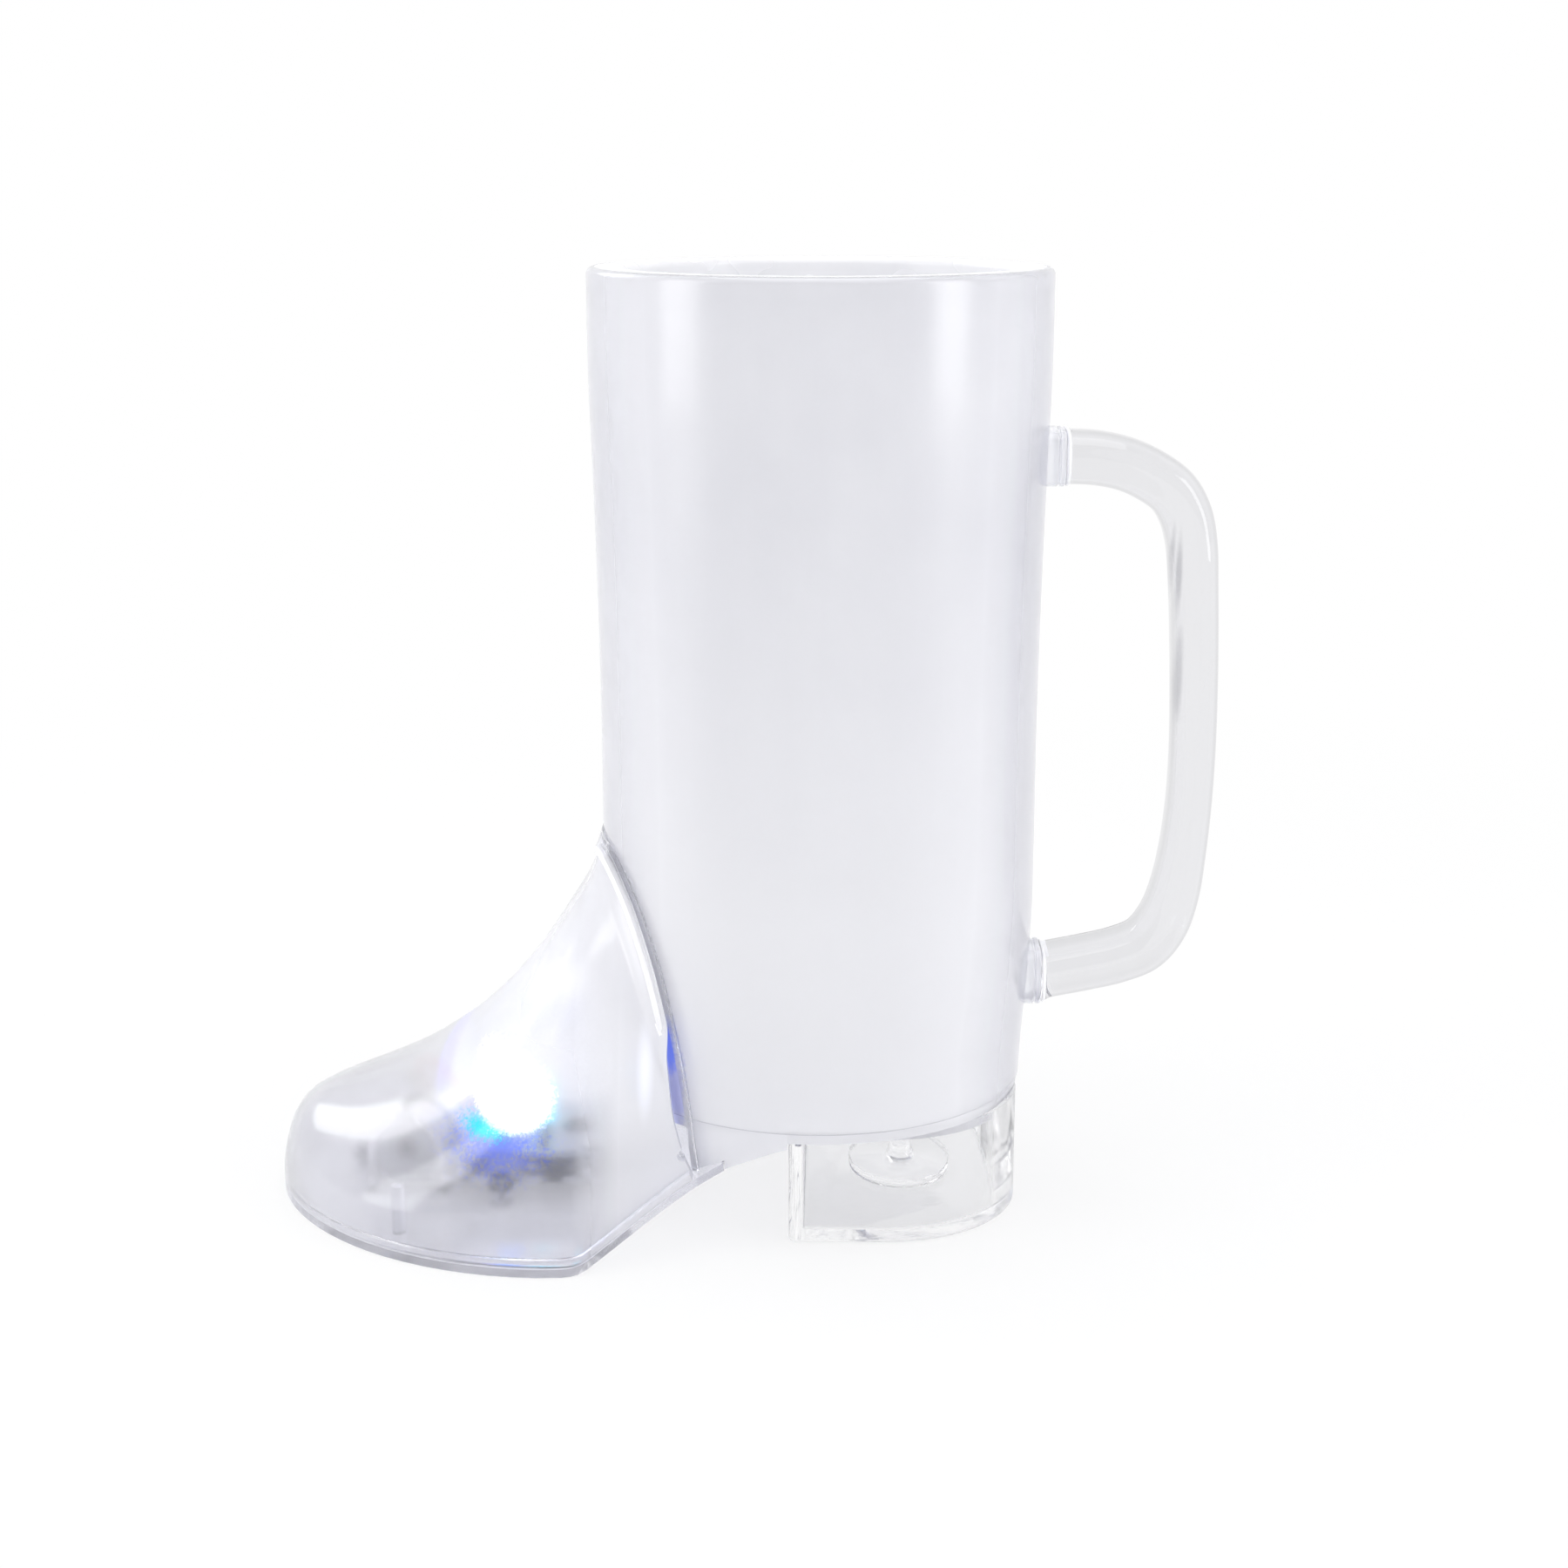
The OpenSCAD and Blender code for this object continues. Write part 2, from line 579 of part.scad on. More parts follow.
// Layer that follows the sole's underside, between two heights
module sole_layer(low, high, grow, rear) {
    intersection() {
        translate([0, 0, -over]) linear_extrude(big) sole_outline(grow, rear);
        across(concat([[-toe_x - 2 * over, low]], arch_points(-arch_start, -rear + over, low),
                      arch_points(-rear + over, -arch_start, high), [[-toe_x - 2 * over, high]]));
    }
}

module foot_shell() color(frost) {
    difference() {
        union() {
            foot_solid(0);
            sole_layer(sole_t + lay_gap / 10, hood_low + over / 4, 0, tuck_x);
            intersection() {
                skin(lay_gap, hood_wall + lay_gap, arch_z(seam_foot) + hood_low, instep_h * 1.01);
                across(strip(0, welt_w, seam_gap));
            }
        }
        difference() {
            foot_solid(hood_wall);
            for (side = [-1, 1]) translate([-peg_x, side * peg_y, peg_top - peg_r])
                cylinder(r = peg_r + cradle_wall, h = big, $fn = hull_fn);
        }
        shaft_clear();
        across(concat([for (i = [0 : len(seam_line) - 1])
                           [seam_line[i][0] - seam_gap * bow_shares[i], seam_line[i][1]]],
                      [[0, -over], [big, -over], [big, big], [seam_line[0][0], big]]));
        for (side = [-1, 1]) translate([-peg_x, side * peg_y, -over])
            cylinder(r = peg_r + run_gap, h = peg_top + peg_r + over, $fn = hull_fn);
        vent_holes();
    }
}

module vent_holes() {
    at = seam_line[len(seam_line) - 2];
    translate([at[0] - vent_r * 1.8, 0, at[1] + vent_lift]) rotate([90, 0, 0])
        cylinder(r = vent_r, h = big, center = true, $fn = hull_fn);
}

// Room that the shaft takes from the foot
module shaft_clear() {
    rotate_extrude() polygon(concat([[0, -over], [floor_r + lay_gap, -over]],
        [for (p = shaft_line) if (p[1] < lip_z) [p[0] + lay_gap, p[1]]], [[rim_r, rim_h], [0, rim_h]]));
}

module sole_plate() color(clear) {
    difference() {
        union() {
            sole_layer(0, sole_t, 0, tuck_x + lay_gap);
            translate([-cell_x, 0, sole_t]) translate([0, 0, pad_t / 2 - over / 20])
                cube([2 * (door_x + door_gap), 2 * (door_y + door_gap), pad_t + over / 10], center = true);
            for (p = ears) translate([p[0], p[1], sole_t / 2])
                cylinder(r = post_r, h = carrier_z - sole_t / 2);
            translate([-door_screw_x, 0, sole_t / 2])
                cylinder(r = door_boss_r, h = carrier_z - sole_t / 2 - lay_gap);
            for (side = [-1, 1]) translate([-peg_x, side * peg_y, sole_t / 2])
                cylinder(r = peg_r, h = peg_top - sole_t / 2);
        }
        translate([-cell_x, 0, 0]) cube([2 * well_x, 2 * well_y, big], center = true);
        translate([-cell_x, 0, 0])
            cube([2 * (door_x + door_gap), 2 * (door_y + door_gap), 2 * rebate_t], center = true);
        translate([-door_screw_x, 0, -over]) cylinder(r = dish_r + door_gap, h = dish_top + lay_gap + over);
        translate([-cell_x, -dish_r - door_gap, -rebate_t])
            cube([cell_x - door_screw_x, 2 * (dish_r + door_gap), 2 * rebate_t]);
        translate([-door_screw_x, 0, -over]) cylinder(r = pilot_r, h = carrier_z - 2 * lay_gap + over);
        for (p = ears) translate([p[0], p[1], carrier_z - screw_l + carrier_t])
            cylinder(r = pilot_r, h = screw_l);
        translate([-button_x, 0, -over]) cylinder(r = button_r + slide_gap, h = sole_t + 2 * over);
    }
}

// Light unit

module module_base() color(clear) {
    difference() {
        union() {
            translate([-cell_x, cradle_y + cradle_wall, cell_z]) rotate([90, 0, 0])
                cylinder(r = cradle_r, h = 2 * (cradle_y + cradle_wall));
            translate([-cell_x - cradle_r, -cradle_y - cradle_wall, cell_low])
                cube([2 * cradle_r, 2 * (cradle_y + cradle_wall), cell_r]);
            translate([-cell_x, -board_w / 2, carrier_z])
                cube([cell_x - board_rear, board_w, carrier_t]);
            for (p = ears) {
                translate([p[0], p[1], carrier_z]) cylinder(r = post_r, h = carrier_t);
                translate([p[0] - (p[1] == 0 ? 0 : post_r),
                           p[1] > 0 ? p[1] - 2 * post_r : p[1] - (p[1] == 0 ? post_r : 0), carrier_z])
                    cube([2 * post_r, 2 * post_r, carrier_t]);
            }
            for (p = board_posts) translate([p[0], p[1], carrier_z])
                cylinder(r = post_r, h = board_z - carrier_z);
            translate([-button_x, 0, stop_z])
                cylinder(r = button_flange + slide_gap, h = carrier_z - stop_z + carrier_t / 2);
        }
        translate([-cell_x, cradle_y, cell_z]) rotate([90, 0, 0])
            cylinder(r = cell_r + lay_gap, h = 2 * cradle_y);
        translate([-cell_x - cell_r - lay_gap, -cradle_y, 0])
            cube([2 * (cell_r + lay_gap), 2 * cradle_y, cell_z]);
        for (side = [-1, 1]) translate([-cell_x, side * (cradle_y - leaf_t / 2 - lay_gap), cell_z + cell_r])
            cube([leaf_w + 2 * lay_gap, leaf_t + 2 * lay_gap, 2 * cradle_r], center = true);
        translate([-cell_x - big / 2, -big / 2, cell_low - big]) cube([big, big, big]);
        for (p = ears) translate([p[0], p[1], carrier_z - over]) cylinder(r = hole_r, h = big);
        for (p = board_posts) translate([p[0], p[1], board_z - screw_l + board_t])
            cylinder(r = pilot_r, h = screw_l + over);
        translate([-button_x, 0, stop_z - over]) cylinder(r = plunger_r * 1.7, h = big);
        translate([-door_screw_x, 0, 0]) cylinder(r = screw_r + 2 * lay_gap, h = big);
        translate([-door_screw_x, 0, 0]) cylinder(r = door_boss_r + lay_gap, h = carrier_z);
    }
}

module circuit_board() color([0.12, 0.15, 0.2]) {
    difference() {
        translate([-board_front, -board_w / 2, board_z]) cube([board_l, board_w, board_t]);
        for (p = board_posts) translate([p[0], p[1], board_z - over])
            cylinder(r = hole_r, h = board_t + 2 * over);
    }
}

module battery_cells() color([0.72, 0.73, 0.75]) {
    edge = cell_t / 12;
    for (i = [0 : cell_n - 1])
        translate([-cell_x, stack_l / 2 - i * cell_t, cell_z]) rotate([90, 0, 0]) {
            cylinder(r = cell_r * 0.86, h = edge);
            translate([0, 0, edge]) cylinder(r1 = cell_r - edge, r2 = cell_r, h = edge);
            translate([0, 0, 2 * edge]) cylinder(r = cell_r, h = cell_t - 2.2 * edge);
        }
}

module leaf(side) {
    face = side * (stack_l / 2 + bump_t);
    translate([-cell_x - leaf_w / 2, side > 0 ? face : face - leaf_t, cell_z - cell_r * 0.6])
        cube([leaf_w, leaf_t, cradle_r + cell_r * 0.6 + leaf_w / 4]);
    translate([-cell_x, side > 0 ? face : face + bump_t, cell_z]) rotate([90, 0, 0])
        cylinder(r = leaf_w / 3, h = bump_t);
}

module contact_positive() color([0.8, 0.72, 0.45]) leaf(1);
module contact_negative() color([0.3, 0.3, 0.32]) leaf(-1);

module switch_body() color([0.16, 0.16, 0.18]) {
    difference() {
        translate([-button_x, 0, switch_z + switch_h / 2])
            cube([switch_w, switch_w, switch_h], center = true);
        translate([-button_x, 0, switch_z - over]) cylinder(r = plunger_r + run_gap, h = bore_up + over);
    }
}

module switch_plunger() color([0.85, 0.85, 0.82]) {
    top = switch_z + bore_up - plunger_travel - lay_gap;
    translate([-button_x, 0, plunger_low]) cylinder(r = plunger_r, h = top - plunger_low);
}

module push_button() color([0.88, 0.88, 0.9]) {
    translate([-button_x, 0, button_recess]) cylinder(r = button_r, h = post_low - button_recess);
    translate([-button_x, 0, post_low]) cylinder(r = button_flange, h = flange_h);
    translate([-button_x, 0, post_low + flange_h])
        cylinder(r = plunger_r * 1.15, h = button_post_top - post_low - flange_h);
}

// Lamp with a collar, a barrel and a domed lens
module lamp(x, y) {
    translate([-x, y, board_top]) {
        cylinder(r = lamp_r * 1.14, h = lamp_h / 9);
        cylinder(r = lamp_r, h = lamp_h - lamp_r);
        translate([0, 0, lamp_h - lamp_r]) sphere(lamp_r);
    }
}

lamp_space = lamp_r * 2.6;
module led_blue() color([0.2, 0.35, 1]) lamp(lamp_x, -lamp_space / 2);
module led_cyan() color([0.1, 0.8, 0.95]) lamp(lamp_x - lamp_space * 0.8, lamp_space / 2);
module led_violet() color([0.6, 0.45, 1]) lamp(lamp_x + lamp_space * 0.4, lamp_space * 0.75);

module controller_chip() color([0.07, 0.07, 0.08]) {
    translate([-board_rear - board_l * 0.2, 0, board_top]) intersection() {
        translate([0, 0, -lamp_r]) sphere(lamp_r * 1.6);
        cylinder(r = 2 * lamp_r, h = lamp_r);
    }
}

module resistors() color([0.1, 0.1, 0.12]) {
    for (i = [-1 : 1])
        translate([-board_rear - board_l * 0.4, i * lamp_r * 1.5 - board_w * 0.27, board_top])
            translate([-lamp_r / 3, 0, 0]) cube([lamp_r * 0.65, lamp_r * 1.25, lamp_r * 0.22]);
}

wire_r = 0.1 * cell_r;
// Soft bend of a wire from the leaf's top to the board, as a chain of straight lengths
module wire(side) {
    top = cell_z + cradle_r + leaf_w / 4;
    y = side * (stack_l / 2 + bump_t + leaf_t / 2);
    run = cell_x - board_front;
    lean = leaf_w / 2;
    wire_shares = [[0, 0, 1], [0.12, 0, 3.2], [0.35, 0.2, 4.2], [0.62, 0.5, 3.2], [0.9, 0.85, 0.2]];
    points = concat([for (s = wire_shares) [s[0], s[1], s[2] * wire_r]],
                    [[1 + wire_r * 2 / run, 1, board_top - top + wire_r + lay_gap]]);
    for (i = [0 : len(points) - 2]) hull() for (k = [i, i + 1])
        translate([-cell_x + run * points[k][0], y - side * points[k][1] * lean, top + points[k][2]])
            sphere(wire_r, $fn = 16);
}
module wire_red() color([0.75, 0.1, 0.1]) wire(1);
module wire_black() color([0.08, 0.08, 0.08]) wire(-1);

// Battery door

module door_plan(grow = 0) {
    square([2 * (door_x + grow), 2 * (door_y + grow)], center = true);
    translate([0, -dish_r - grow]) square([cell_x - door_screw_x, 2 * (dish_r + grow)]);
    translate([cell_x - door_screw_x, 0]) circle(dish_r + grow);
}

module battery_door() color(clear) {
    difference() {
        union() {
            translate([-cell_x, 0, door_low]) linear_extrude(door_t) door_plan();
            translate([-door_screw_x, 0, door_low]) cylinder(r = dish_r, h = dish_top - door_low);
        }
        translate([-door_screw_x, 0, -over]) cylinder(r = hole_r, h = big);
        translate([-door_screw_x, 0, -over]) cylinder(r = head_gap, h = dish_top - door_t + over);
    }
}

module door_seal() color([0.25, 0.25, 0.27]) {
    translate([-cell_x, 0, door_low + door_t]) linear_extrude(seal_t) difference() {
        square([2 * door_x, 2 * door_y], center = true);
        square([2 * well_x + door_ledge / 2, 2 * well_y + door_ledge / 2], center = true);
    }
}

// Screw with its head downwards at the origin, a cross recess in it and a pointed end
module screw(length) {
    difference() {
        union() {
            cylinder(r = head_r, h = head_t * 0.6);
            translate([0, 0, head_t * 0.6]) cylinder(r1 = head_r, r2 = head_r * 0.75, h = head_t * 0.4);
        }
        for (turn = [0, 90]) rotate(turn)
            cube([head_r * 1.2, head_r * 0.25, head_t * 0.8], center = true);
    }
    translate([0, 0, head_t]) cylinder(r = screw_r, h = length - screw_r);
    translate([0, 0, head_t + length - screw_r]) cylinder(r1 = screw_r, r2 = screw_r * 0.3, h = screw_r);
}

module door_screw() color([0.7, 0.71, 0.73])
    translate([-door_screw_x, 0, dish_top - door_t - head_t])
        screw(carrier_z - dish_top + door_t - 3 * lay_gap);
module base_screws() color([0.7, 0.71, 0.73]) for (p = ears)
    translate([p[0], p[1], carrier_top + head_t]) mirror([0, 0, 1]) screw(screw_l - run_gap);
module board_screws() color([0.7, 0.71, 0.73]) for (p = board_posts)
    translate([p[0], p[1], board_top + head_t]) mirror([0, 0, 1]) screw(screw_l - run_gap);

shaft_shell();
inner_cup();
handle();
foot_shell();
sole_plate();
heel_block();
module_base();
circuit_board();
battery_cells();
contact_positive();
contact_negative();
switch_body();
switch_plunger();
push_button();
led_blue();
led_cyan();
led_violet();
controller_chip();
resistors();
wire_red();
wire_black();
battery_door();
door_seal();
door_screw();
base_screws();
board_screws();
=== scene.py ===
import math

import bmesh
import bpy
from mathutils import Matrix, Vector
from mathutils.kdtree import KDTree


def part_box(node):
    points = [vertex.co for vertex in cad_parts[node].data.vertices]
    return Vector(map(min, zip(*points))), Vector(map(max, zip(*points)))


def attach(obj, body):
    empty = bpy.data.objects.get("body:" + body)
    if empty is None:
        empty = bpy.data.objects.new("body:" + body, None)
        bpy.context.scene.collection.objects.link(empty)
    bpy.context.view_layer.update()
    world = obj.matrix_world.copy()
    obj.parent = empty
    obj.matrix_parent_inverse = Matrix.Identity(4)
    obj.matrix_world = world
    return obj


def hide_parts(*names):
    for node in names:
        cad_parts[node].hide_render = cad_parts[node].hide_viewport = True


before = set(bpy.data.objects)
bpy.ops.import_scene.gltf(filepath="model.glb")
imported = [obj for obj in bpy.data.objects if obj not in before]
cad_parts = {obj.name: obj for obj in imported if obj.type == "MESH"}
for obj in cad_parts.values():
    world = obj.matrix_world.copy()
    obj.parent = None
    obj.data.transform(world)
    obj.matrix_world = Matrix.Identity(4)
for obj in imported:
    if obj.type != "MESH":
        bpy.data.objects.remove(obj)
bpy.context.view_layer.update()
MM = 0.001

# Sizes of the CAD part, in millimetres. Shaft, lip and inner cup:
RIM_R, RIM_H, WAIST_R, FLOOR_R, SHELL_WALL, FLOOR_T = 40, 167, 38.6, 36.7, 2.1, 2
LIP_W, LIP_T, LIP_SEAT, LIP_ROUND, CUP_WALL, CUP_GAP = 6.4, 3.2, 0.7, 1.3, 1.8, 2.3
# Heel
HEEL_H, BREAST_X, HEEL_BACK, HEEL_HALF, HEEL_CORNER, HEEL_STEP = 21.3, 5, 36, 29, 24, 0.4
HEEL_WALL, HEEL_PLATE, DIMPLE_R, DIMPLE_T, NUB_H, NUB_R = 2.4, 2.8, 9.7, 0.9, 4, 1.8
# Sole, arch, hood and seam
TOE_X, BALL_X, BALL_HALF, TUCK_HALF, TUCK_X = 99, 46, 44.2, 33.2, 16
ARCH_X, ARCH_BEND, ARCH_H, INSTEP_H, TOE_H = 40.6, 3, 20.2, 67, 20.5
HOOD_WALL, FLANGE_W, FLANGE_T, SOLE_T, WELT_W, WELT_T, WELT_TOP = 1.8, 1.9, 1.2, 1.5, 2.4, 1.5, 0.3
RIB_W, SEAM_GAP, VENT_R, VENT_LIFT = 1.2, 2, 0.95, 5
# Handle and the stubs it is glued to
ARM_TOP, ARM_LOW, GRIP_X, GRIP_T, ARM_T, GRIP_W = 134.6, 41, 66.7, 7.6, 9.4, 13
WELD_TOP_X, WELD_LOW_X = 42.4, 40.3
# Play between pieces
LAY = 0.1
# What follows from them
SHAFT_LOW = HEEL_H + FLOOR_T
SHAFT_SPAN = RIM_H - SHAFT_LOW
LIP_Z = RIM_H - LIP_T
CUP_LOW = SHAFT_LOW + CUP_GAP
CUP_FOOT_R = FLOOR_R - SHELL_WALL - CUP_GAP
MOUTH_R = RIM_R - LIP_W
SEAT_R = RIM_R - SHELL_WALL + LIP_SEAT
HOOD_LOW = SOLE_T + FLANGE_T
ARCH_START = ARCH_X + ARCH_BEND / 2

# Sizes of the scene's own pieces, in millimetres
PLATE, HEEL_SOFT = 1.7, 0.7  # the heel's plate, thinner than the solid's, and the rounding of its lower edge
BEAD_FRONT, BEAD_LIFT, BEAD_HALF_W, BEAD_HALF_T = 1.15, 1.55, 0.95, 0.8  # bead on the welt, beside the seam
# The welt bead's material is white, a painted highlight
BEAD_REACH = 0.87  # faces nearer than this to the bead's line get the bead's material
# The glue beads' white is partly their own colour, partly a painted highlight
GLUE_FROM, GLUE_TO = 0.05, 0.76  # faces of the handle's glue beads, measured from its ends
SHORT, THROUGH, WIDE, FAR = 100, 200, 300, 400  # half sizes of the blocks that cut and keep
# Plastics of the mug
PLASTIC_IOR, LAMP_TINT, BLACK = 1.49, (0.9, 0.9, 0.92), (0.0, 0.0, 0.0)


# Curves through a row of points that never overshoot them
def slopes(xs, ys):
    """Slope at each point: 0 at a turn, the harmonic mean of its neighbours elsewhere."""
    n = len(xs)
    d = [(ys[i + 1] - ys[i]) / (xs[i + 1] - xs[i]) for i in range(n - 1)]
    return [d[0]] + [0 if d[i - 1] * d[i] <= 0 else
                     3 * (xs[i + 1] - xs[i - 1]) / ((2 * xs[i + 1] - xs[i] - xs[i - 1]) / d[i - 1]
                                                    + (xs[i + 1] + xs[i] - 2 * xs[i - 1]) / d[i])
                     for i in range(1, n - 1)] + [d[-1]]


def curve(xs, ys):
    m = slopes(xs, ys)

    def at(x):
        x = min(max(x, xs[0]), xs[-1])
        i = max(0, min(len(xs) - 2, next((k for k in range(len(xs) - 1) if x <= xs[k + 1]), len(xs) - 2)))
        h = xs[i + 1] - xs[i]
        t = (x - xs[i]) / h
        return ((1 + 2 * t) * (1 - t) ** 2 * ys[i] + t * (1 - t) ** 2 * h * m[i]
                + t * t * (3 - 2 * t) * ys[i + 1] + t * t * (t - 1) * h * m[i + 1])
    return at


# Meshes
def make(name, verts, faces):
    """Object from points in millimetres, with doubles merged and all faces turned outwards."""
    mesh = bpy.data.meshes.new(name)
    mesh.from_pydata([tuple(c * MM for c in v) for v in verts], [], faces)
    bm = bmesh.new()
    bm.from_mesh(mesh)
    bmesh.ops.remove_doubles(bm, verts=bm.verts, dist=1e-7)
    bmesh.ops.recalc_face_normals(bm, faces=bm.faces)
    bm.to_mesh(mesh)
    bm.free()
    o = bpy.data.objects.new(name, mesh)
    bpy.context.scene.collection.objects.link(o)
    return o


def lathe(name, profile, n=288, at=(0, 0)):
    """Solid of revolution about the Z axis through a closed outline of (radius, height) points."""
    verts, rows = [], []
    for r, z in profile:
        if r < 1e-6:
            rows.append([len(verts)] * n)
            verts.append((at[0], at[1], z))
        else:
            rows.append(list(range(len(verts), len(verts) + n)))
            verts += [(at[0] + r * math.cos(2 * math.pi * k / n), at[1] + r * math.sin(2 * math.pi * k / n), z)
                      for k in range(n)]
    faces = []
    for i in range(len(rows)):
        a, b = rows[i], rows[(i + 1) % len(rows)]
        for k in range(n):
            q = [a[k], a[(k + 1) % n], b[(k + 1) % n], b[k]]
            q = [v for j, v in enumerate(q) if v not in q[:j]]
            if len(q) > 2:
                faces.append(q)
    return make(name, verts, faces)


def loft(name, rings):
    """Closed skin through rings of equally many points, with flat ends."""
    n = len(rings[0])
    verts = [p for r in rings for p in r]
    faces = [[n * i + k, n * i + (k + 1) % n, n * (i + 1) + (k + 1) % n, n * (i + 1) + k]
             for i in range(len(rings) - 1) for k in range(n)]
    for base in (0, n * (len(rings) - 1)):
        faces.append([base + k for k in range(n)])
    return make(name, verts, faces)


def prism(name, points, low, high, axis="Y"):
    """Outline of (x, z) points swept along Y, or of (x, y) points swept along Z."""
    put = (lambda p, h: (p[0], h, p[1])) if axis == "Y" else (lambda p, h: (p[0], p[1], h))
    return loft(name, [[put(p, low) for p in points], [put(p, high) for p in points]])


def rod(name, r, z0, z1, n):
    return lathe(name, [(0, z0), (r, z0), (r, z1), (0, z1)], n)


def combine(a, b, how):
    m = a.modifiers.new("combine", "BOOLEAN")
    m.operation, m.solver, m.object = how, "MANIFOLD", b
    mesh = bpy.data.meshes.new_from_object(a.evaluated_get(bpy.context.evaluated_depsgraph_get()))
    a.modifiers.clear()
    a.data = mesh
    bpy.data.objects.remove(b)
    return a


def join(a, *rest):
    for b in rest:
        combine(a, b, "UNION")
    return a


def cut(a, *rest):
    for b in rest:
        combine(a, b, "DIFFERENCE")
    return a


def keep(a, b):
    return combine(a, b, "INTERSECT")


def finish_mesh(o, angle):
    """Smooth shading, with edges sharp from the angle in degrees."""
    bm = bmesh.new()
    bm.from_mesh(o.data)
    bmesh.ops.remove_doubles(bm, verts=bm.verts, dist=1e-7)
    bmesh.ops.dissolve_degenerate(bm, edges=bm.edges, dist=1e-8)
    bm.to_mesh(o.data)
    bm.free()
    for p in o.data.polygons:
        p.use_smooth = True
    o.data.set_sharp_from_angle(angle=math.radians(angle))


# Node materials
class Nodes:
    """Short calls that make and join the nodes of one tree."""

    def __init__(self, tree):
        self.nt = tree
        self.nt.nodes.clear()

    def node(self, kind, **values):
        n = self.nt.nodes.new("ShaderNode" + kind)
        for k, v in values.items():
            if hasattr(n, k):
                setattr(n, k, v)
            else:
                n.inputs[k.replace("_", " ")].default_value = v
        return n

    def link(self, a, b):
        self.nt.links.new(a, b)

    def math(self, op, a, b):
        m = self.node("Math", operation=op)
        for i, v in enumerate((a, b)):
            if isinstance(v, (int, float)):
                m.inputs[i].default_value = v
            else:
                self.link(v, m.inputs[i])
        return m.outputs[0]

    def spread(self, value, a, b, c, d):
        """The span from a to b of the value, spread over c to d and held there outside it."""
        m = self.node("MapRange", From_Min=a, From_Max=b, To_Min=c, To_Max=d)
        self.link(value, m.inputs["Value"])
        return m.outputs["Result"]

    def split(self, vector):
        s = self.node("SeparateXYZ")
        self.link(vector, s.inputs[0])
        return s.outputs

    def length(self, vector):
        d = self.node("VectorMath", operation="LENGTH")
        self.link(vector, d.inputs[0])
        return d.outputs["Value"]

    def mix_shaders(self, share, a, b):
        mix = self.node("MixShader")
        for i, v in enumerate((share, a, b)):
            self.link(v, mix.inputs[i])
        return mix.outputs[0]

    def seen(self):
        """1 for rays that see the backdrop: from the camera, by gloss or through glass."""
        rays = self.node("LightPath").outputs
        return self.math("MAXIMUM", self.math("MAXIMUM", rays["Is Camera Ray"], rays["Is Glossy Ray"]),
                         rays["Is Transmission Ray"])


class Mat(Nodes):
    """Material with one principled shader, textured by the object's own coordinates."""

    def __init__(self, name):
        self.mat = bpy.data.materials.new(name)
        self.mat.use_nodes = True
        super().__init__(self.mat.node_tree)
        self.out = self.node("OutputMaterial")
        self.bsdf = self.node("BsdfPrincipled")
        self.link(self.bsdf.outputs[0], self.out.inputs[0])
        self.coord = self.node("TexCoord").outputs["Object"]

    def scaled(self, x, y, z):
        m = self.node("Mapping")
        m.inputs["Scale"].default_value = (x, y, z)
        self.link(self.coord, m.inputs["Vector"])
        return m.outputs[0]

    def noise(self, scale, detail=4.0, rough=0.55, source=None):
        n = self.node("TexNoise", Scale=scale, Detail=detail, Roughness=rough)
        self.link(source or self.coord, n.inputs["Vector"])
        return n.outputs["Fac"]

    def ramp(self, value, *stops):
        """Colour that goes from one (place, colour) stop to the other."""
        r = self.node("ValToRGB")
        for e, (place, colour) in zip(r.color_ramp.elements, stops):
            e.position, e.color = place, (*colour, 1)
        self.link(value, r.inputs["Fac"])
        return r.outputs["Color"]

    def turned(self):
        """How far the surface turns away from the ray that sees it."""
        return self.node("LayerWeight", Blend=0.5).outputs["Facing"]

    def bump(self, *heights):
        """Relief from (height, strength, distance) rows, each on top of the last."""
        normal = None
        for height, strength, distance in heights:
            b = self.node("Bump", Strength=strength, Distance=distance)
            self.link(height, b.inputs["Height"])
            if normal is not None:
                self.link(normal, b.inputs["Normal"])
            normal = b.outputs[0]
        self.link(normal, self.bsdf.inputs["Normal"])

    def set(self, **values):
        for k, v in values.items():
            self.bsdf.inputs[k.replace("_", " ")].default_value = v

    def feed(self, socket, what):
        self.link(what, self.bsdf.inputs[socket])

    def lets_lamps_in(self, tint):
        """Rays from the lamps pass the surface, dimmed by the tint."""
        shadow = self.node("LightPath").outputs["Is Shadow Ray"]
        passed = self.node("BsdfTransparent", Color=(*tint, 1))
        self.link(self.mix_shaders(shadow, self.bsdf.outputs[0], passed.outputs[0]), self.out.inputs[0])


def blob(m, x, z, rx, rz, edge, grain=None, wobble=0.0):
    """1 inside an oval of the side view, 0 outside, with a soft and grainy edge."""
    g = m.node("Mapping")
    g.inputs["Scale"].default_value = (1 / (rx * MM), 0, 1 / (rz * MM))
    g.inputs["Location"].default_value = (-x / rx, 0, -z / rz)
    m.link(m.coord, g.inputs["Vector"])
    away = m.length(g.outputs[0])
    if grain is not None:
        away = m.math("ADD", away, m.math("MULTIPLY", m.math("SUBTRACT", grain, 0.5), wobble))
    r = m.node("MapRange", From_Min=1 + edge, From_Max=1 - edge, To_Min=0.0, To_Max=1.0)
    r.interpolation_type = "SMOOTHSTEP"
    m.link(away, r.inputs["Value"])
    return r.outputs["Result"]


def layer(m, under, colour, share):
    """A share of the colour over what is under it."""
    mix = m.node("Mix", data_type="RGBA")
    for value, at in ((share, 0), (under, 6), (colour, 7)):  # the node's sockets for factor and RGBA colours
        if isinstance(value, tuple):
            mix.inputs[at].default_value = (*value, 1)
        else:
            m.link(value, mix.inputs[at])
    return mix.outputs[2]


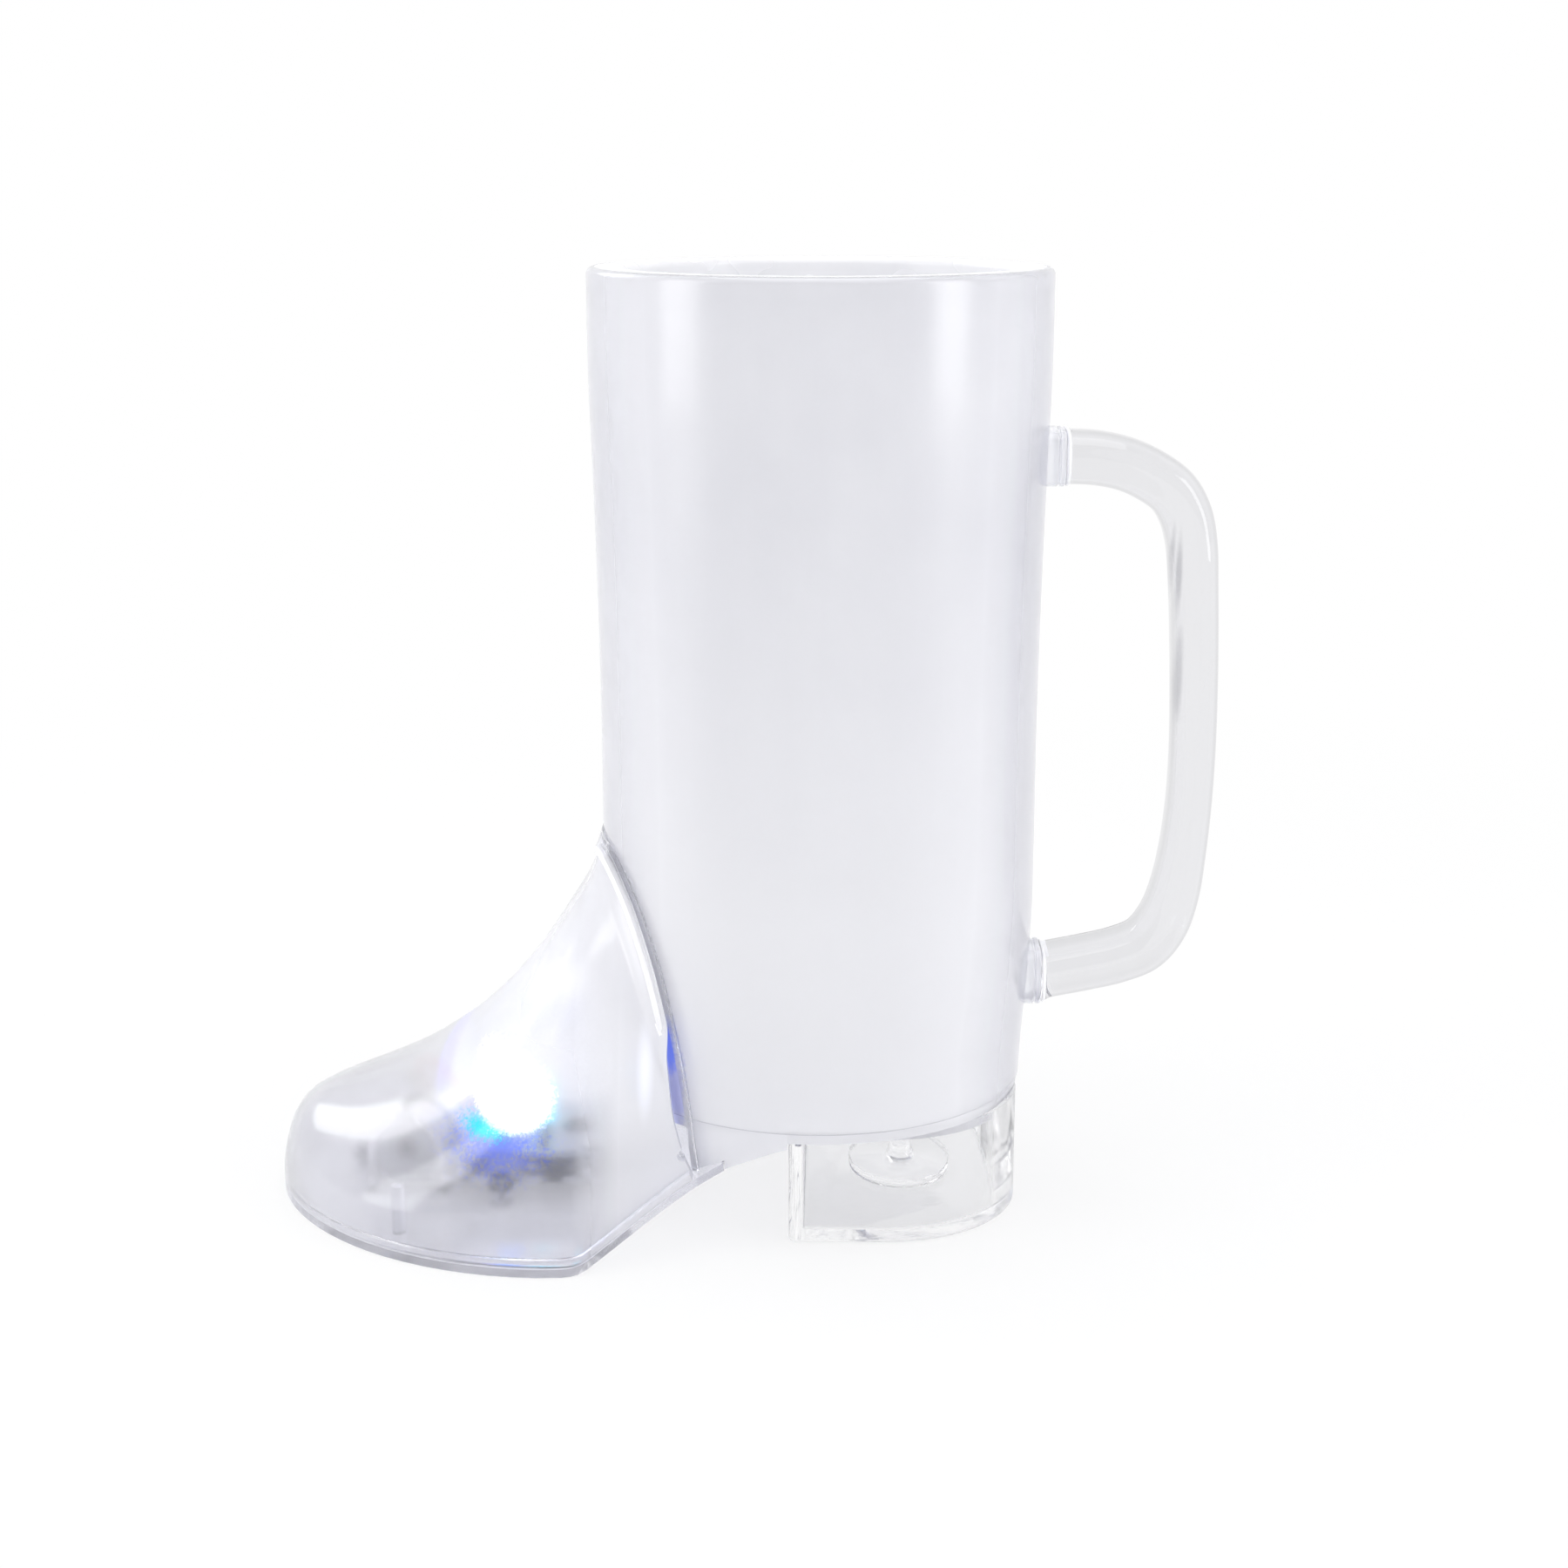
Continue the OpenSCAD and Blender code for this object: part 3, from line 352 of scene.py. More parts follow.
def frosted(name, low, high, see, rough, grain, wave=0.06, coat=0.0, edges=0.0):
    """Cloudy moulded plastic: fine sprayed grain, faint flow marks, and clearer, paler edges if asked."""
    m = Mat(name)
    cloud = m.noise(38, 3)
    flow = m.noise(1.0, 5, source=m.scaled(90, 90, 9))
    both = m.math("ADD", m.math("MULTIPLY", cloud, 0.6), m.math("MULTIPLY", flow, 0.4))
    m.body = m.ramp(both, (0.38, low), (0.62, high))
    fine = m.noise(2600, 3, 0.6)
    m.feed("Roughness", m.spread(fine, 0.3, 0.7, rough - 0.05, rough + 0.06))
    m.bump((flow, wave, 0.0006), (fine, grain, 0.00006))
    if edges:
        turned = m.turned()
        m.feed("Transmission Weight", m.spread(turned, 0.35, 0.75, see, edges))
        m.body = layer(m, m.body, (0.95, 0.955, 0.975), m.spread(turned, 0.30, 0.75, 0.0, 0.75))
    m.feed("Base Color", m.body)
    m.set(IOR=PLASTIC_IOR, Transmission_Weight=see, Specular_IOR_Level=0.5, Coat_Weight=coat, Coat_Roughness=0.2)
    m.lets_lamps_in(LAMP_TINT)
    return m


def clear(name, colour, rough=0.03, tint=(0.93, 0.93, 0.94)):
    """Clear moulded plastic, darker where it turns away, with soft flow lines and fine scratches."""
    m = Mat(name)
    flow = m.noise(1.0, 4, source=m.scaled(150, 150, 30))
    body = m.ramp(flow, (0.35, tuple(c * 0.985 for c in colour)), (0.65, colour))
    m.body = layer(m, body, tuple(c * 0.62 for c in colour), m.spread(m.turned(), 0.45, 0.72, 0.0, 0.75))
    m.feed("Base Color", m.body)
    hair = m.noise(1.0, 6, 0.7, source=m.scaled(900, 900, 60))
    m.feed("Roughness", m.spread(hair, 0.45, 0.75, rough, rough + 0.10))
    m.bump((flow, 0.10, 0.0004), (hair, 0.04, 0.00005))
    m.set(IOR=PLASTIC_IOR, Transmission_Weight=1.0, Specular_IOR_Level=0.5)
    m.lets_lamps_in(tint)
    return m


def solid(name, low, high, rough, metal=0.0, grain=(900, 0.2, 0.00005), stretch=(1, 1, 1), coat=0.0):
    """Opaque plastic or metal. grain: (scale, strength, depth in metres), stretch: the grain's scale by axis."""
    m = Mat(name)
    m.feed("Base Color", m.ramp(m.noise(260, 4), (0.35, low), (0.68, high)))
    fine = m.noise(1.0, 5, 0.6, source=m.scaled(*(grain[0] * s for s in stretch)))
    m.feed("Roughness", m.spread(fine, 0.3, 0.7, rough * 0.8, rough * 1.25))
    m.bump((fine, grain[1], grain[2]))
    m.set(Metallic=metal, Coat_Weight=coat)
    return m


def lens(name, colour, glow, power):
    m = Mat(name)
    ripple = m.noise(500, 3)
    m.feed("Base Color", m.ramp(ripple, (0.3, tuple(c * 0.85 for c in colour)), (0.7, colour)))
    m.bump((ripple, 0.1, 0.00005))
    m.set(Roughness=0.12, Emission_Color=(*glow, 1), Emission_Strength=power)
    return m


def glow_painted_hood():
    """Frosted hood: clearer over the light unit, cloudier towards the instep, with the lamps' light painted on:
    glowing spots, halo and haze as emission, coloured tint, and a painted glare by the seam.
    """
    m = Mat("frosted_hood_painted_glow")
    cloud, fine = m.noise(45, 3), m.noise(2400, 3, 0.6)
    dots = m.noise(1500, 2, 0.8)
    place = m.split(m.coord)
    near = m.spread(place["Y"], -0.004, 0.012, 1.0, 0.25)
    # Painted light of the lamps: bright spots, a halo and haze round them and a glare by the seam, full on the near
    # side and a quarter as strong on the far side
    painted_core = blob(m, -52.3, 28.6, 6.6, 4.9, 0.22, dots, 0.8)
    cyan = blob(m, -57.0, 23.3, 3.4, 1.3, 0.50, dots, 2.6)
    blue = blob(m, -55.0, 21.0, 6.2, 3.4, 0.70, dots, 5.0)
    violet = blob(m, -66.4, 27.4, 1.6, 1.8, 0.9, dots, 1.5)
    painted_halo = blob(m, -49.5, 29.5, 10.0, 9.5, 0.95, dots, 0.5)
    painted_haze = blob(m, -46.5, 37.5, 7.5, 9.5, 0.95, dots, 0.5)
    pale = blob(m, -62.0, 25.2, 3.6, 3.6, 0.95, dots, 0.8)
    painted_glare = blob(m, -29.7, 32.5, 1.0, 5.5, 0.9)

    tint = m.ramp(cloud, (0.38, (0.80, 0.80, 0.835)), (0.62, (0.84, 0.84, 0.87)))
    # Paler higher up; the violet, blue and cyan shares are the lamps' light painted into the colour
    for colour, share in (((0.93, 0.93, 0.95), m.spread(place["Z"], 0.017, 0.027, 0.0, 0.75)),
                          ((0.62, 0.60, 1.0), m.math("MULTIPLY", violet, 0.5)),
                          ((0.24, 0.34, 0.92), m.math("MULTIPLY", blue, m.math("MULTIPLY", near, 0.7))),
                          ((0.05, 0.45, 0.90), m.math("MULTIPLY", cyan, near))):
        tint = layer(m, tint, colour, share)
    m.feed("Base Color", tint)

    # Painted glow of the lamps, as emission
    light = layer(m, BLACK, (0.06, 0.064, 0.08), painted_halo)
    for colour, spot, share in (((0.12, 0.14, 0.19), pale, 0.8), ((0.16, 0.17, 0.20), painted_glare, 0.8),
                                ((0.13, 0.13, 0.15), painted_haze, 0.25), ((0.12, 0.11, 0.40), violet, 0.4),
                                ((0.01, 0.03, 0.35), blue, 0.4)):
        light = layer(m, light, colour, m.math("MULTIPLY", spot, share))
    light = layer(m, light, (0.01, 0.36, 0.62), cyan)
    light = layer(m, light, (1.0, 1.0, 1.0), painted_core)
    m.feed("Emission Color", layer(m, BLACK, light, near))

    m.feed("Roughness", m.math("MULTIPLY", m.spread(fine, 0.3, 0.7, 0.14, 0.22),
                               m.spread(place["Z"], 0.016, 0.030, 0.75, 1.0)))
    see = m.math("MULTIPLY", m.spread(place["Z"], 0.020, 0.050, 0.95, 0.55),
                 m.spread(place["X"], -0.042, -0.034, 1.0, 0.45))
    see = m.math("MULTIPLY", see, m.spread(place["X"], -0.064, -0.056, 0.87, 1.0))
    m.feed("Transmission Weight", see)
    m.bump((cloud, 0.05, 0.0006), (fine, 0.14, 0.00006))
    m.set(IOR=PLASTIC_IOR, Specular_IOR_Level=0.5, Emission_Strength=1.0)
    m.lets_lamps_in((0.9, 0.9, 0.93))
    return m


def dress(o, mat):
    o.data.materials.clear()
    o.data.materials.append(mat.mat)


def piece(o, slot, mat, *nodes, body="mug", angle=28):
    """Finished piece of the scene that stands in for the nodes."""
    finish_mesh(o, angle)
    dress(o, mat)
    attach(o, body)
    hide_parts(*nodes)


# Camera at the photograph's place
CAMERA_LENS, CAMERA_Y, CAMERA_Z, CAMERA_PITCH, CAMERA_PAN = 59.37, -0.45, 0.18738, 13.93, 0.79
camera_data = bpy.data.cameras.new("camera")
camera_data.sensor_width, camera_data.lens, camera_data.clip_start = 36, CAMERA_LENS, 0.01
camera = bpy.data.objects.new("camera", camera_data)
bpy.context.scene.collection.objects.link(camera)
pitch, pan = math.radians(CAMERA_PITCH), math.radians(CAMERA_PAN)
ahead = Vector((-math.sin(pan) * math.cos(pitch), math.cos(pan) * math.cos(pitch), -math.sin(pitch)))
right = Vector((math.cos(pan), math.sin(pan), 0))
up = right.cross(ahead)
camera.matrix_world = Matrix(((right.x, up.x, -ahead.x, 0), (right.y, up.y, -ahead.y, CAMERA_Y),
                              (right.z, up.z, -ahead.z, CAMERA_Z), (0, 0, 0, 1)))
bpy.context.scene.camera = camera

# Materials. The shaft has painted light: paler towards the bottom, and blue light of the lamps in the toe painted
# beside the seam
shaft_mat = frosted("frosted_shaft_painted_light", (0.83, 0.83, 0.865), (0.87, 0.87, 0.90), 0.35, 0.20, grain=0.2, coat=0.5,
                    edges=0.85)
wall = shaft_mat.noise(900, 3)
# Painted light: the shaft is paler towards the bottom
painted_lower_light = shaft_mat.spread(shaft_mat.split(shaft_mat.coord)["Z"], 0.06, 0.13, 0.75, 0.0)
shaft_body = layer(shaft_mat, shaft_mat.body, (0.93, 0.93, 0.95), painted_lower_light)
# Painted blue light of the lamps in the toe, on the wall beside the seam
shaft_body = layer(shaft_mat, shaft_body, (0.62, 0.64, 0.93), blob(shaft_mat, -24.6, 27.5, 1.9, 7.5, 0.3, wall, 1.0))
# A brighter spot of the same painted light, which also glows as emission
lit = blob(shaft_mat, -25.6, 35.5, 1.3, 4.5, 0.5, wall, 1.0)
shaft_mat.feed("Base Color", layer(shaft_mat, shaft_body, (0.22, 0.29, 0.78), lit))
shaft_mat.feed("Emission Color", layer(shaft_mat, BLACK, (0.02, 0.04, 0.20), lit))
shaft_mat.set(Emission_Strength=1.0)

# The cup is seen at a grazing angle through its mouth, where a fine roughness would speckle
cup_mat = frosted("frosted_cup", (0.93, 0.93, 0.945), (0.96, 0.96, 0.97), 0.12, 0.26, grain=0.02, wave=0.015)
cup_mat.feed("Roughness", cup_mat.spread(cup_mat.noise(60, 2), 0.3, 0.7, 0.23, 0.29))
sole_mat = frosted("clear_sole", (0.82, 0.82, 0.85), (0.88, 0.88, 0.91), 0.85, 0.06, grain=0.1)
stub_mat = frosted("clear_stub", (0.93, 0.935, 0.96), (0.965, 0.97, 0.99), 0.72, 0.05, grain=0.06)
hood_mat = glow_painted_hood()
# White of the beads: on the handle's glue beads partly their own white, partly a painted highlight; on the hood's
# welt bead a painted highlight
bead_white_and_highlight_mat = solid("bead_white_and_painted_highlight", (0.93, 0.93, 0.95), (0.98, 0.98, 0.985), 0.22, 0.0, (1200, 0.12, 0.00004), coat=0.3)

# The handle has painted dark reflections: streaks inside its grip
handle_mat = clear("clear_handle_painted_streaks", (0.83, 0.83, 0.85))
painted_streak_grain = handle_mat.noise(140, 4)
for x, z, rx, rz, share in ((61.2, 116.5, 0.4, 6.0, 0.75), (62.3, 114.5, 0.5, 6.5, 0.85),
                            (62.9, 96.5, 0.6, 7.0, 0.75), (62.3, 88.0, 0.5, 8.0, 0.3)):
    # Each streak is a painted dark reflection
    painted_dark_reflection = handle_mat.math("MULTIPLY", blob(handle_mat, x, z, rx, rz, 0.6, painted_streak_grain, 0.8), share)
    handle_mat.body = layer(handle_mat, handle_mat.body, (0.33, 0.33, 0.36), painted_dark_reflection)
handle_mat.feed("Base Color", handle_mat.body)
clear_mat = clear("clear_plastic", (0.90, 0.902, 0.915))
heel_mat = clear("clear_heel", (0.985, 0.986, 0.992), 0.02, (0.96, 0.96, 0.965))
carrier_mat = clear("carrier_plastic", (0.95, 0.95, 0.965), 0.10, (0.95, 0.95, 0.96))

# Shaft. Rows: (share of the height, share of the way from the waist's radius to the end's)
FOOT = [(0, 1), (0.05, 0.8), (0.1, 0.5), (0.16, 0.2), (0.24, 0)]
RIM = [(0.42, 0), (0.55, 0.12), (0.68, 0.38), (0.78, 0.66), (0.87, 0.94), (0.93, 1)]
shaft_r = curve([SHAFT_LOW + SHAFT_SPAN * s for s, _ in FOOT + RIM],
                [WAIST_R + (FLOOR_R - WAIST_R) * s for _, s in FOOT]
                + [WAIST_R + (RIM_R - WAIST_R) * s for _, s in RIM])


def shaft_rows(low, high, n, less=0.0):
    """Outline points of the shaft between two heights, moved in by less."""
    return [(shaft_r(low + (high - low) * i / n) - less, low + (high - low) * i / n) for i in range(n + 1)]


def arc(cx, cz, r, a0, a1, n):
    return [(cx + r * math.cos(math.radians(a0 + (a1 - a0) * i / n)),
             cz + r * math.sin(math.radians(a0 + (a1 - a0) * i / n))) for i in range(n + 1)]


def arch_z(x):
    """Height of the sole's underside: flat under the toe, then up the arch."""
    def rise(run):
        return ARCH_H * (1 - (1 - min(1, run / (ARCH_X - BREAST_X))) ** 1.2)
    run = x + ARCH_X
    if run <= -ARCH_BEND / 2:
        return 0.0
    if run < ARCH_BEND / 2:
        return rise(ARCH_BEND / 2) * ((run + ARCH_BEND / 2) / ARCH_BEND) ** 2
    return rise(run)


def arch_line(a, b, n, lift):
    return [(a + (b - a) * i / n, arch_z(a + (b - a) * i / n) + lift) for i in range(n + 1)]


def sole_half(x):
    """Half the sole's width."""
    if x < -BALL_X:
        return BALL_HALF * max(0, 1 - ((x + BALL_X) / (TOE_X - BALL_X)) ** 2) ** 0.6
    s = min(1, (x + BALL_X) / (BALL_X - TUCK_X))
    return BALL_HALF - (BALL_HALF - TUCK_HALF) * s * s * (3 - 2 * s)


LAP = SOLE_T + LAY
SHANK_FRONT = -FLOOR_R * 0.6
SEAM_FOOT = -FLOOR_R * 0.55
# The seam in the side view, from the instep down: (share of FLOOR_R, share of INSTEP_H), and how far the gap opens
SEAM = [(1.06, 1.01), (1.02, 1.003), (0.98, 0.987), (0.94, 0.960), (0.90, 0.925), (0.865, 0.888), (0.83, 0.843),
        (0.765, 0.74), (0.71, 0.62), (0.665, 0.50), (0.63, 0.38), (0.605, 0.27), (0.58, 0.19), (0.53, 0.10)]
BOW = [0, 0, 0, 0, 0, 0, 0, 0, 0, 0.75, 1, 0.55, 0, 0]
SEAM_N = 91
_rows = list(range(len(SEAM)))
_x, _z, _bow = (curve(_rows, values) for values in
                ([-FLOOR_R * a for a, _ in SEAM], [INSTEP_H * b for _, b in SEAM], BOW))
_at = [(len(SEAM) - 1) * i / (SEAM_N - 1) for i in range(SEAM_N)]
seam = [(_x(k), _z(k)) for k in _at]
bow = [_bow(k) for k in _at]


def seam_normal(i):
    a, b = seam[max(0, i - 1)], seam[min(SEAM_N - 1, i + 1)]
    d = math.hypot(b[0] - a[0], b[1] - a[1])
    return (b[1] - a[1]) / d, -(b[0] - a[0]) / d


def strip(back, front, open_by=0.0):
    """Outline of a strip along the seam, wider in front where the gap bows."""
    near = [(seam[i][0] - back * seam_normal(i)[0], seam[i][1] - back * seam_normal(i)[1]) for i in range(SEAM_N)]
    far = [(seam[i][0] + front * seam_normal(i)[0] - open_by * bow[i], seam[i][1] + front * seam_normal(i)[1])
           for i in range(SEAM_N - 1, -1, -1)]
    return near + far


def skin_t(z, t):
    """Thickness at height z: full up to half the instep's height, then thinner."""
    return t * (1 - (1 - WELT_TOP) * max(0, z / INSTEP_H - 0.5) ** 2 * 4)


def skin_r(z):
    return FLOOR_R if z < SHAFT_LOW else shaft_r(z)


def skin(name, inner, outer, low, high, n=48):
    """Ring on the shaft's outside."""
    rows = [low + (high - low) * i / n for i in range(n + 1)]
    return lathe(name, [(skin_r(z) + skin_t(z, outer), z) for z in rows]
                 + [(skin_r(z) + inner, z) for z in reversed(rows)], 360)


def super_ring(cx, z_up, w, t, power, n, turn):
    """Ring of a rounded-square section: w across Y, t along the direction at right angles to the path."""
    pts = []
    for k in range(n):
        a = 2 * math.pi * k / n
        c, s = math.cos(a), math.sin(a)
        across = math.copysign(w / 2 * abs(c) ** (2 / power), c)
        out = math.copysign(t / 2 * abs(s) ** (2 / power), s)
        pts.append((cx - math.sin(turn) * out, across, z_up + math.cos(turn) * out))
    return pts


def stub(z, x, t):
    """Stub for the handle, with a groove round it just before its rounded end at x."""
    rings = []
    for px, less in ((FLOOR_R - SHELL_WALL / 2, 0), (x - 1.5, 0), (x - 1.35, 0.25), (x - 1.1, 0.3), (x - 0.95, 0.05),
                     (x - 0.5, 0), (x - 0.24, 0.06), (x - 0.08, 0.22), (x - 0.02, 0.5)):
        rings.append(super_ring(px, z, GRIP_W - 2 * less, t - 2 * less, 4.2, 96, 0))
    return loft("stub", rings)


def block(name, low, high):
    """Block between two heights, wider and deeper than the object."""
    return prism(name, [(-FAR, low), (FAR, low), (FAR, high), (-FAR, high)], -FAR, FAR)


def heel_points(inset, n=24):
    """Plan outline of the heel, counter-clockwise, with its flat front."""
    pts = []
    c = HEEL_CORNER - inset
    for side, a0, a1 in ((-1, -90, 0), (1, 0, 90)):
        pts += arc(HEEL_BACK - HEEL_CORNER, side * (HEEL_HALF - HEEL_CORNER), c, a0, a1, n)
    x = -BREAST_X + inset
    s = min(1.2, 3.0 - inset) if inset < 2 else 0.4  # rounding of the two front corners
    pts += [(x + s - s * math.sin(a * math.pi / 12), HEEL_HALF - inset - s + s * math.cos(a * math.pi / 12))
            for a in range(7)]
    pts += [(x + s - s * math.cos(a * math.pi / 12), -HEEL_HALF + inset + s - s * math.sin(a * math.pi / 12))
            for a in range(7)]
    return pts


# Shaft with its floor, shank and heel spigot in one piece; the rib and the two stubs are pieces of their own
outer = lathe("shaft", [(0, 0), (FLOOR_R - HEEL_STEP, 0), (FLOOR_R - HEEL_STEP, SHAFT_LOW - 0.35),
                        (FLOOR_R - 0.1, SHAFT_LOW - 0.05)]
              + shaft_rows(SHAFT_LOW, RIM_H - LIP_ROUND, 96)
              + arc(RIM_R - LIP_ROUND, RIM_H - LIP_ROUND, LIP_ROUND, 0, 90, 10)[1:] + [(0, RIM_H)])
shank = prism("shank_room", [(SHANK_FRONT, HEEL_H + 2)] + arch_line(SHANK_FRONT, -TUCK_X, 12, LAP)
              + arch_line(-TUCK_X, -BREAST_X - LAY, 24, 0) + [(-BREAST_X - LAY, HEEL_H + 2)], -SHORT, SHORT)
below = cut(block("below", -FAR, HEEL_H), shank)
room_profile = ([(0, SHAFT_LOW)] + shaft_rows(SHAFT_LOW, LIP_Z, 90, SHELL_WALL)
                + [(SEAT_R, LIP_Z), (SEAT_R, RIM_H + 2), (0, RIM_H + 2)])
hollow_end = -BREAST_X - SHELL_WALL
hollow = keep(rod("hollow", FLOOR_R - HEEL_STEP - SHELL_WALL, -2, HEEL_H, 180),
              prism("hollow_cut", [(SHANK_FRONT - 2, HEEL_H + 1)]
                    + arch_line(SHANK_FRONT - 2, hollow_end, 40, LAP + SHELL_WALL) + [(hollow_end, HEEL_H + 1)],
                    -SHORT, SHORT))
cut(outer, below, lathe("room", room_profile), hollow)
rib = keep(skin("rib", -SHELL_WALL / 2, WELT_T, arch_z(SEAM_FOOT) + LAP, INSTEP_H * 1.04),
           prism("rib_cut", strip(RIB_W, 0), -THROUGH, THROUGH))
keep(rib, prism("front_half", [(-THROUGH, -THROUGH), (0, -THROUGH), (0, THROUGH), (-THROUGH, THROUGH)],
                -THROUGH, THROUGH))
rib_rows = [arch_z(SEAM_FOOT) - 2 + i * 0.5 for i in range(150)]
cut(rib, lathe("rib_room", [(0, -2)] + [(skin_r(z) + 0.02, z) for z in rib_rows] + [(0, 85)], 360))
piece(rib, "frosted_plastic", clear_mat, "shaft_shell")
for z, x, t in ((ARM_TOP, WELD_TOP_X, ARM_T * 1.06), (ARM_LOW, WELD_LOW_X, ARM_T * 1.1)):
    arm = stub(z, x, t)
    cut(arm, lathe("shaft_again", [(0, SHAFT_LOW)] + shaft_rows(SHAFT_LOW, RIM_H - 4, 90, -0.02) + [(0, RIM_H - 4)]))
    piece(arm, "frosted_plastic", stub_mat, "shaft_shell", angle=40)
spigot = cut(prism("spigot", heel_points(HEEL_WALL + LAY), HEEL_H - HEEL_PLATE, HEEL_H + 1, "Z"),
             prism("spigot_room", heel_points(2 * HEEL_WALL + LAY), HEEL_H - HEEL_PLATE - 1, HEEL_H + 2, "Z"))
join(outer, spigot)
piece(outer, "frosted_plastic", shaft_mat, "shaft_shell")

# Inner cup
bend = CUP_WALL * 3
cup = lathe("cup", [(0, CUP_LOW), (CUP_FOOT_R - bend - CUP_WALL, CUP_LOW), (CUP_FOOT_R - bend - CUP_WALL, SHAFT_LOW),
                    (CUP_FOOT_R - bend, SHAFT_LOW), (CUP_FOOT_R - bend, CUP_LOW)]
            + arc(CUP_FOOT_R - bend, CUP_LOW + bend, bend, -85, -5, 10)
            + [(MOUTH_R + CUP_WALL, LIP_Z), (SEAT_R - LAY / 2, LIP_Z), (SEAT_R - LAY / 2, RIM_H)]
            + arc(MOUTH_R + LIP_ROUND, RIM_H - LIP_ROUND, LIP_ROUND, 90, 180, 10) + [(MOUTH_R, LIP_Z)]
            + arc(CUP_FOOT_R - bend, CUP_LOW + bend, bend - CUP_WALL, -5, -90, 10) + [(0, CUP_LOW + CUP_WALL)])
piece(cup, "frosted_plastic", cup_mat, "inner_cup")

# Handle. Rows: (share of the way out to the grip, share of the way down, and 0 to 1 from the grip's thickness to the
# arms')
HANDLE = [(0.00, 0.000, 1.0), (0.23, 0.003, 1.0), (0.44, 0.0145, 0.95), (0.625, 0.036, 0.95), (0.78, 0.065, 0.95),
          (0.875, 0.105, 0.9), (0.930, 0.160, 0.7), (0.958, 0.25, 0.5), (0.977, 0.35, 0.4), (0.99, 0.46, 0.3),
          (0.993, 0.57, 0.2), (0.98, 0.67, 0.2), (0.95, 0.76, 0.35), (0.905, 0.838, 0.7), (0.83, 0.900, 0.95),
          (0.71, 0.944, 1.0), (0.53, 0.967, 1.0), (0.30, 0.983, 1.0), (0.00, 1.000, 1.0)]


def smooth_path(points, per):
    """Even curve through the points (Catmull-Rom with centripetal spacing)."""
    n = len(points)
    out = []
    for i in range(n - 1):
        p = [Vector(points[max(0, min(n - 1, j))]) for j in (i - 1, i, i + 1, i + 2)]
        if i == 0:
            p[0] = 2 * p[1] - p[2]
        if i == n - 2:
            p[3] = 2 * p[2] - p[1]
        t = [0.0]
        for a, b in zip(p, p[1:]):
            t.append(t[-1] + max(1e-6, (Vector(b[:2]) - Vector(a[:2])).length) ** 0.5)
        for k in range(per):
            u = t[1] + (t[2] - t[1]) * k / per
            a1, a2, a3 = (p[j] * ((t[j + 1] - u) / (t[j + 1] - t[j])) + p[j + 1] * ((u - t[j]) / (t[j + 1] - t[j]))
                          for j in range(3))
            b1 = a1 * ((t[2] - u) / (t[2] - t[0])) + a2 * ((u - t[0]) / (t[2] - t[0]))
            b2 = a2 * ((t[3] - u) / (t[3] - t[1])) + a3 * ((u - t[1]) / (t[3] - t[1]))
            out.append(b1 * ((t[2] - u) / (t[2] - t[1])) + b2 * ((u - t[1]) / (t[2] - t[1])))
    out.append(Vector(points[-1]))
    return out


def weld_x(s):
    return WELD_TOP_X + (WELD_LOW_X - WELD_TOP_X) * s


path = smooth_path([(weld_x(down) + (GRIP_X - weld_x(down)) * away, ARM_TOP + (ARM_LOW - ARM_TOP) * down,
                     GRIP_T + (ARM_T - GRIP_T) * thick) for away, down, thick in HANDLE], 8)
GLUE = [(0, 0.0), (0.1, 0.2), (0.3, 0.28), (0.5, 0.22), (0.65, 0.05), (0.75, 0.0)]  # (place along the arm, bulge)
rings = []
for i, p in enumerate(path):
    a, b = path[max(0, i - 1)], path[min(len(path) - 1, i + 1)]
    if i in (0, len(path) - 1):
        turn, steps = (0, GLUE) if i == 0 else (math.pi, GLUE[::-1])
        rings += [super_ring(p.x + d, p.y, GRIP_W + 2 * w, p.z + 2 * w, 3.2, 80, turn) for d, w in steps]
    else:
        rings.append(super_ring(p.x, p.y, GRIP_W, p.z, 2.6, 80, math.atan2(b.y - a.y, b.x - a.x)))
handle = loft("handle_bar", rings)
piece(handle, "clear_plastic", handle_mat, "handle", angle=40)
# Glue bead faces get the white, partly a painted highlight
handle.data.materials.append(bead_white_and_highlight_mat.mat)
for face in handle.data.polygons:
    at = face.center / MM
    end = WELD_TOP_X if at.z > (ARM_TOP + ARM_LOW) / 2 else WELD_LOW_X
    if end + GLUE_FROM < at.x < end + GLUE_TO:
        face.material_index = 1

# Foot: hood, welt and flange in one shell. Rows of the hood, from the toe to the instep: (share of TOE_X at the
# foot, the same at the top, height for hood_z, roundness of the section, how much its top is cut off)
HOOD = [(0.999, 0.999, 0.163, 2.35, 0), (0.996, 0.996, 0.288, 2.35, 0), (0.99, 0.99, 0.418, 2.35, 0),
        (0.976, 0.976, 0.647, 2.35, 0), (0.955, 0.955, 0.784, 2.35, 0), (0.925, 0.925, 0.863, 2.35, 0),
        (0.88, 0.882, 0.928, 2.35, 0), (0.82, 0.826, 1, 2.35, 0), (0.75, 0.765, 1.045, 2.35, 0),
        (0.68, 0.705, 1.115, 2.35, 0), (0.61, 0.645, 1.206, 2.35, 0), (0.54, 0.59, 1.317, 2.35, 0),
        (0.475, 0.54, 1.441, 2.3, 0), (0.415, 0.495, 1.571, 2.2, 0.003), (0.36, 0.458, 1.689, 2.1, 0.008),
        (0.305, 0.423, 1.805, 1.95, 0.025), (0.25, 0.401, 1.909, 1.8, 0.06), (0.202, 0.389, 2, 1.7, 0.0975),
        (0.155, 0.345, 2.058, 1.7, 0.0975), (0.11, 0.3, 2.086, 1.7, 0.0975)]


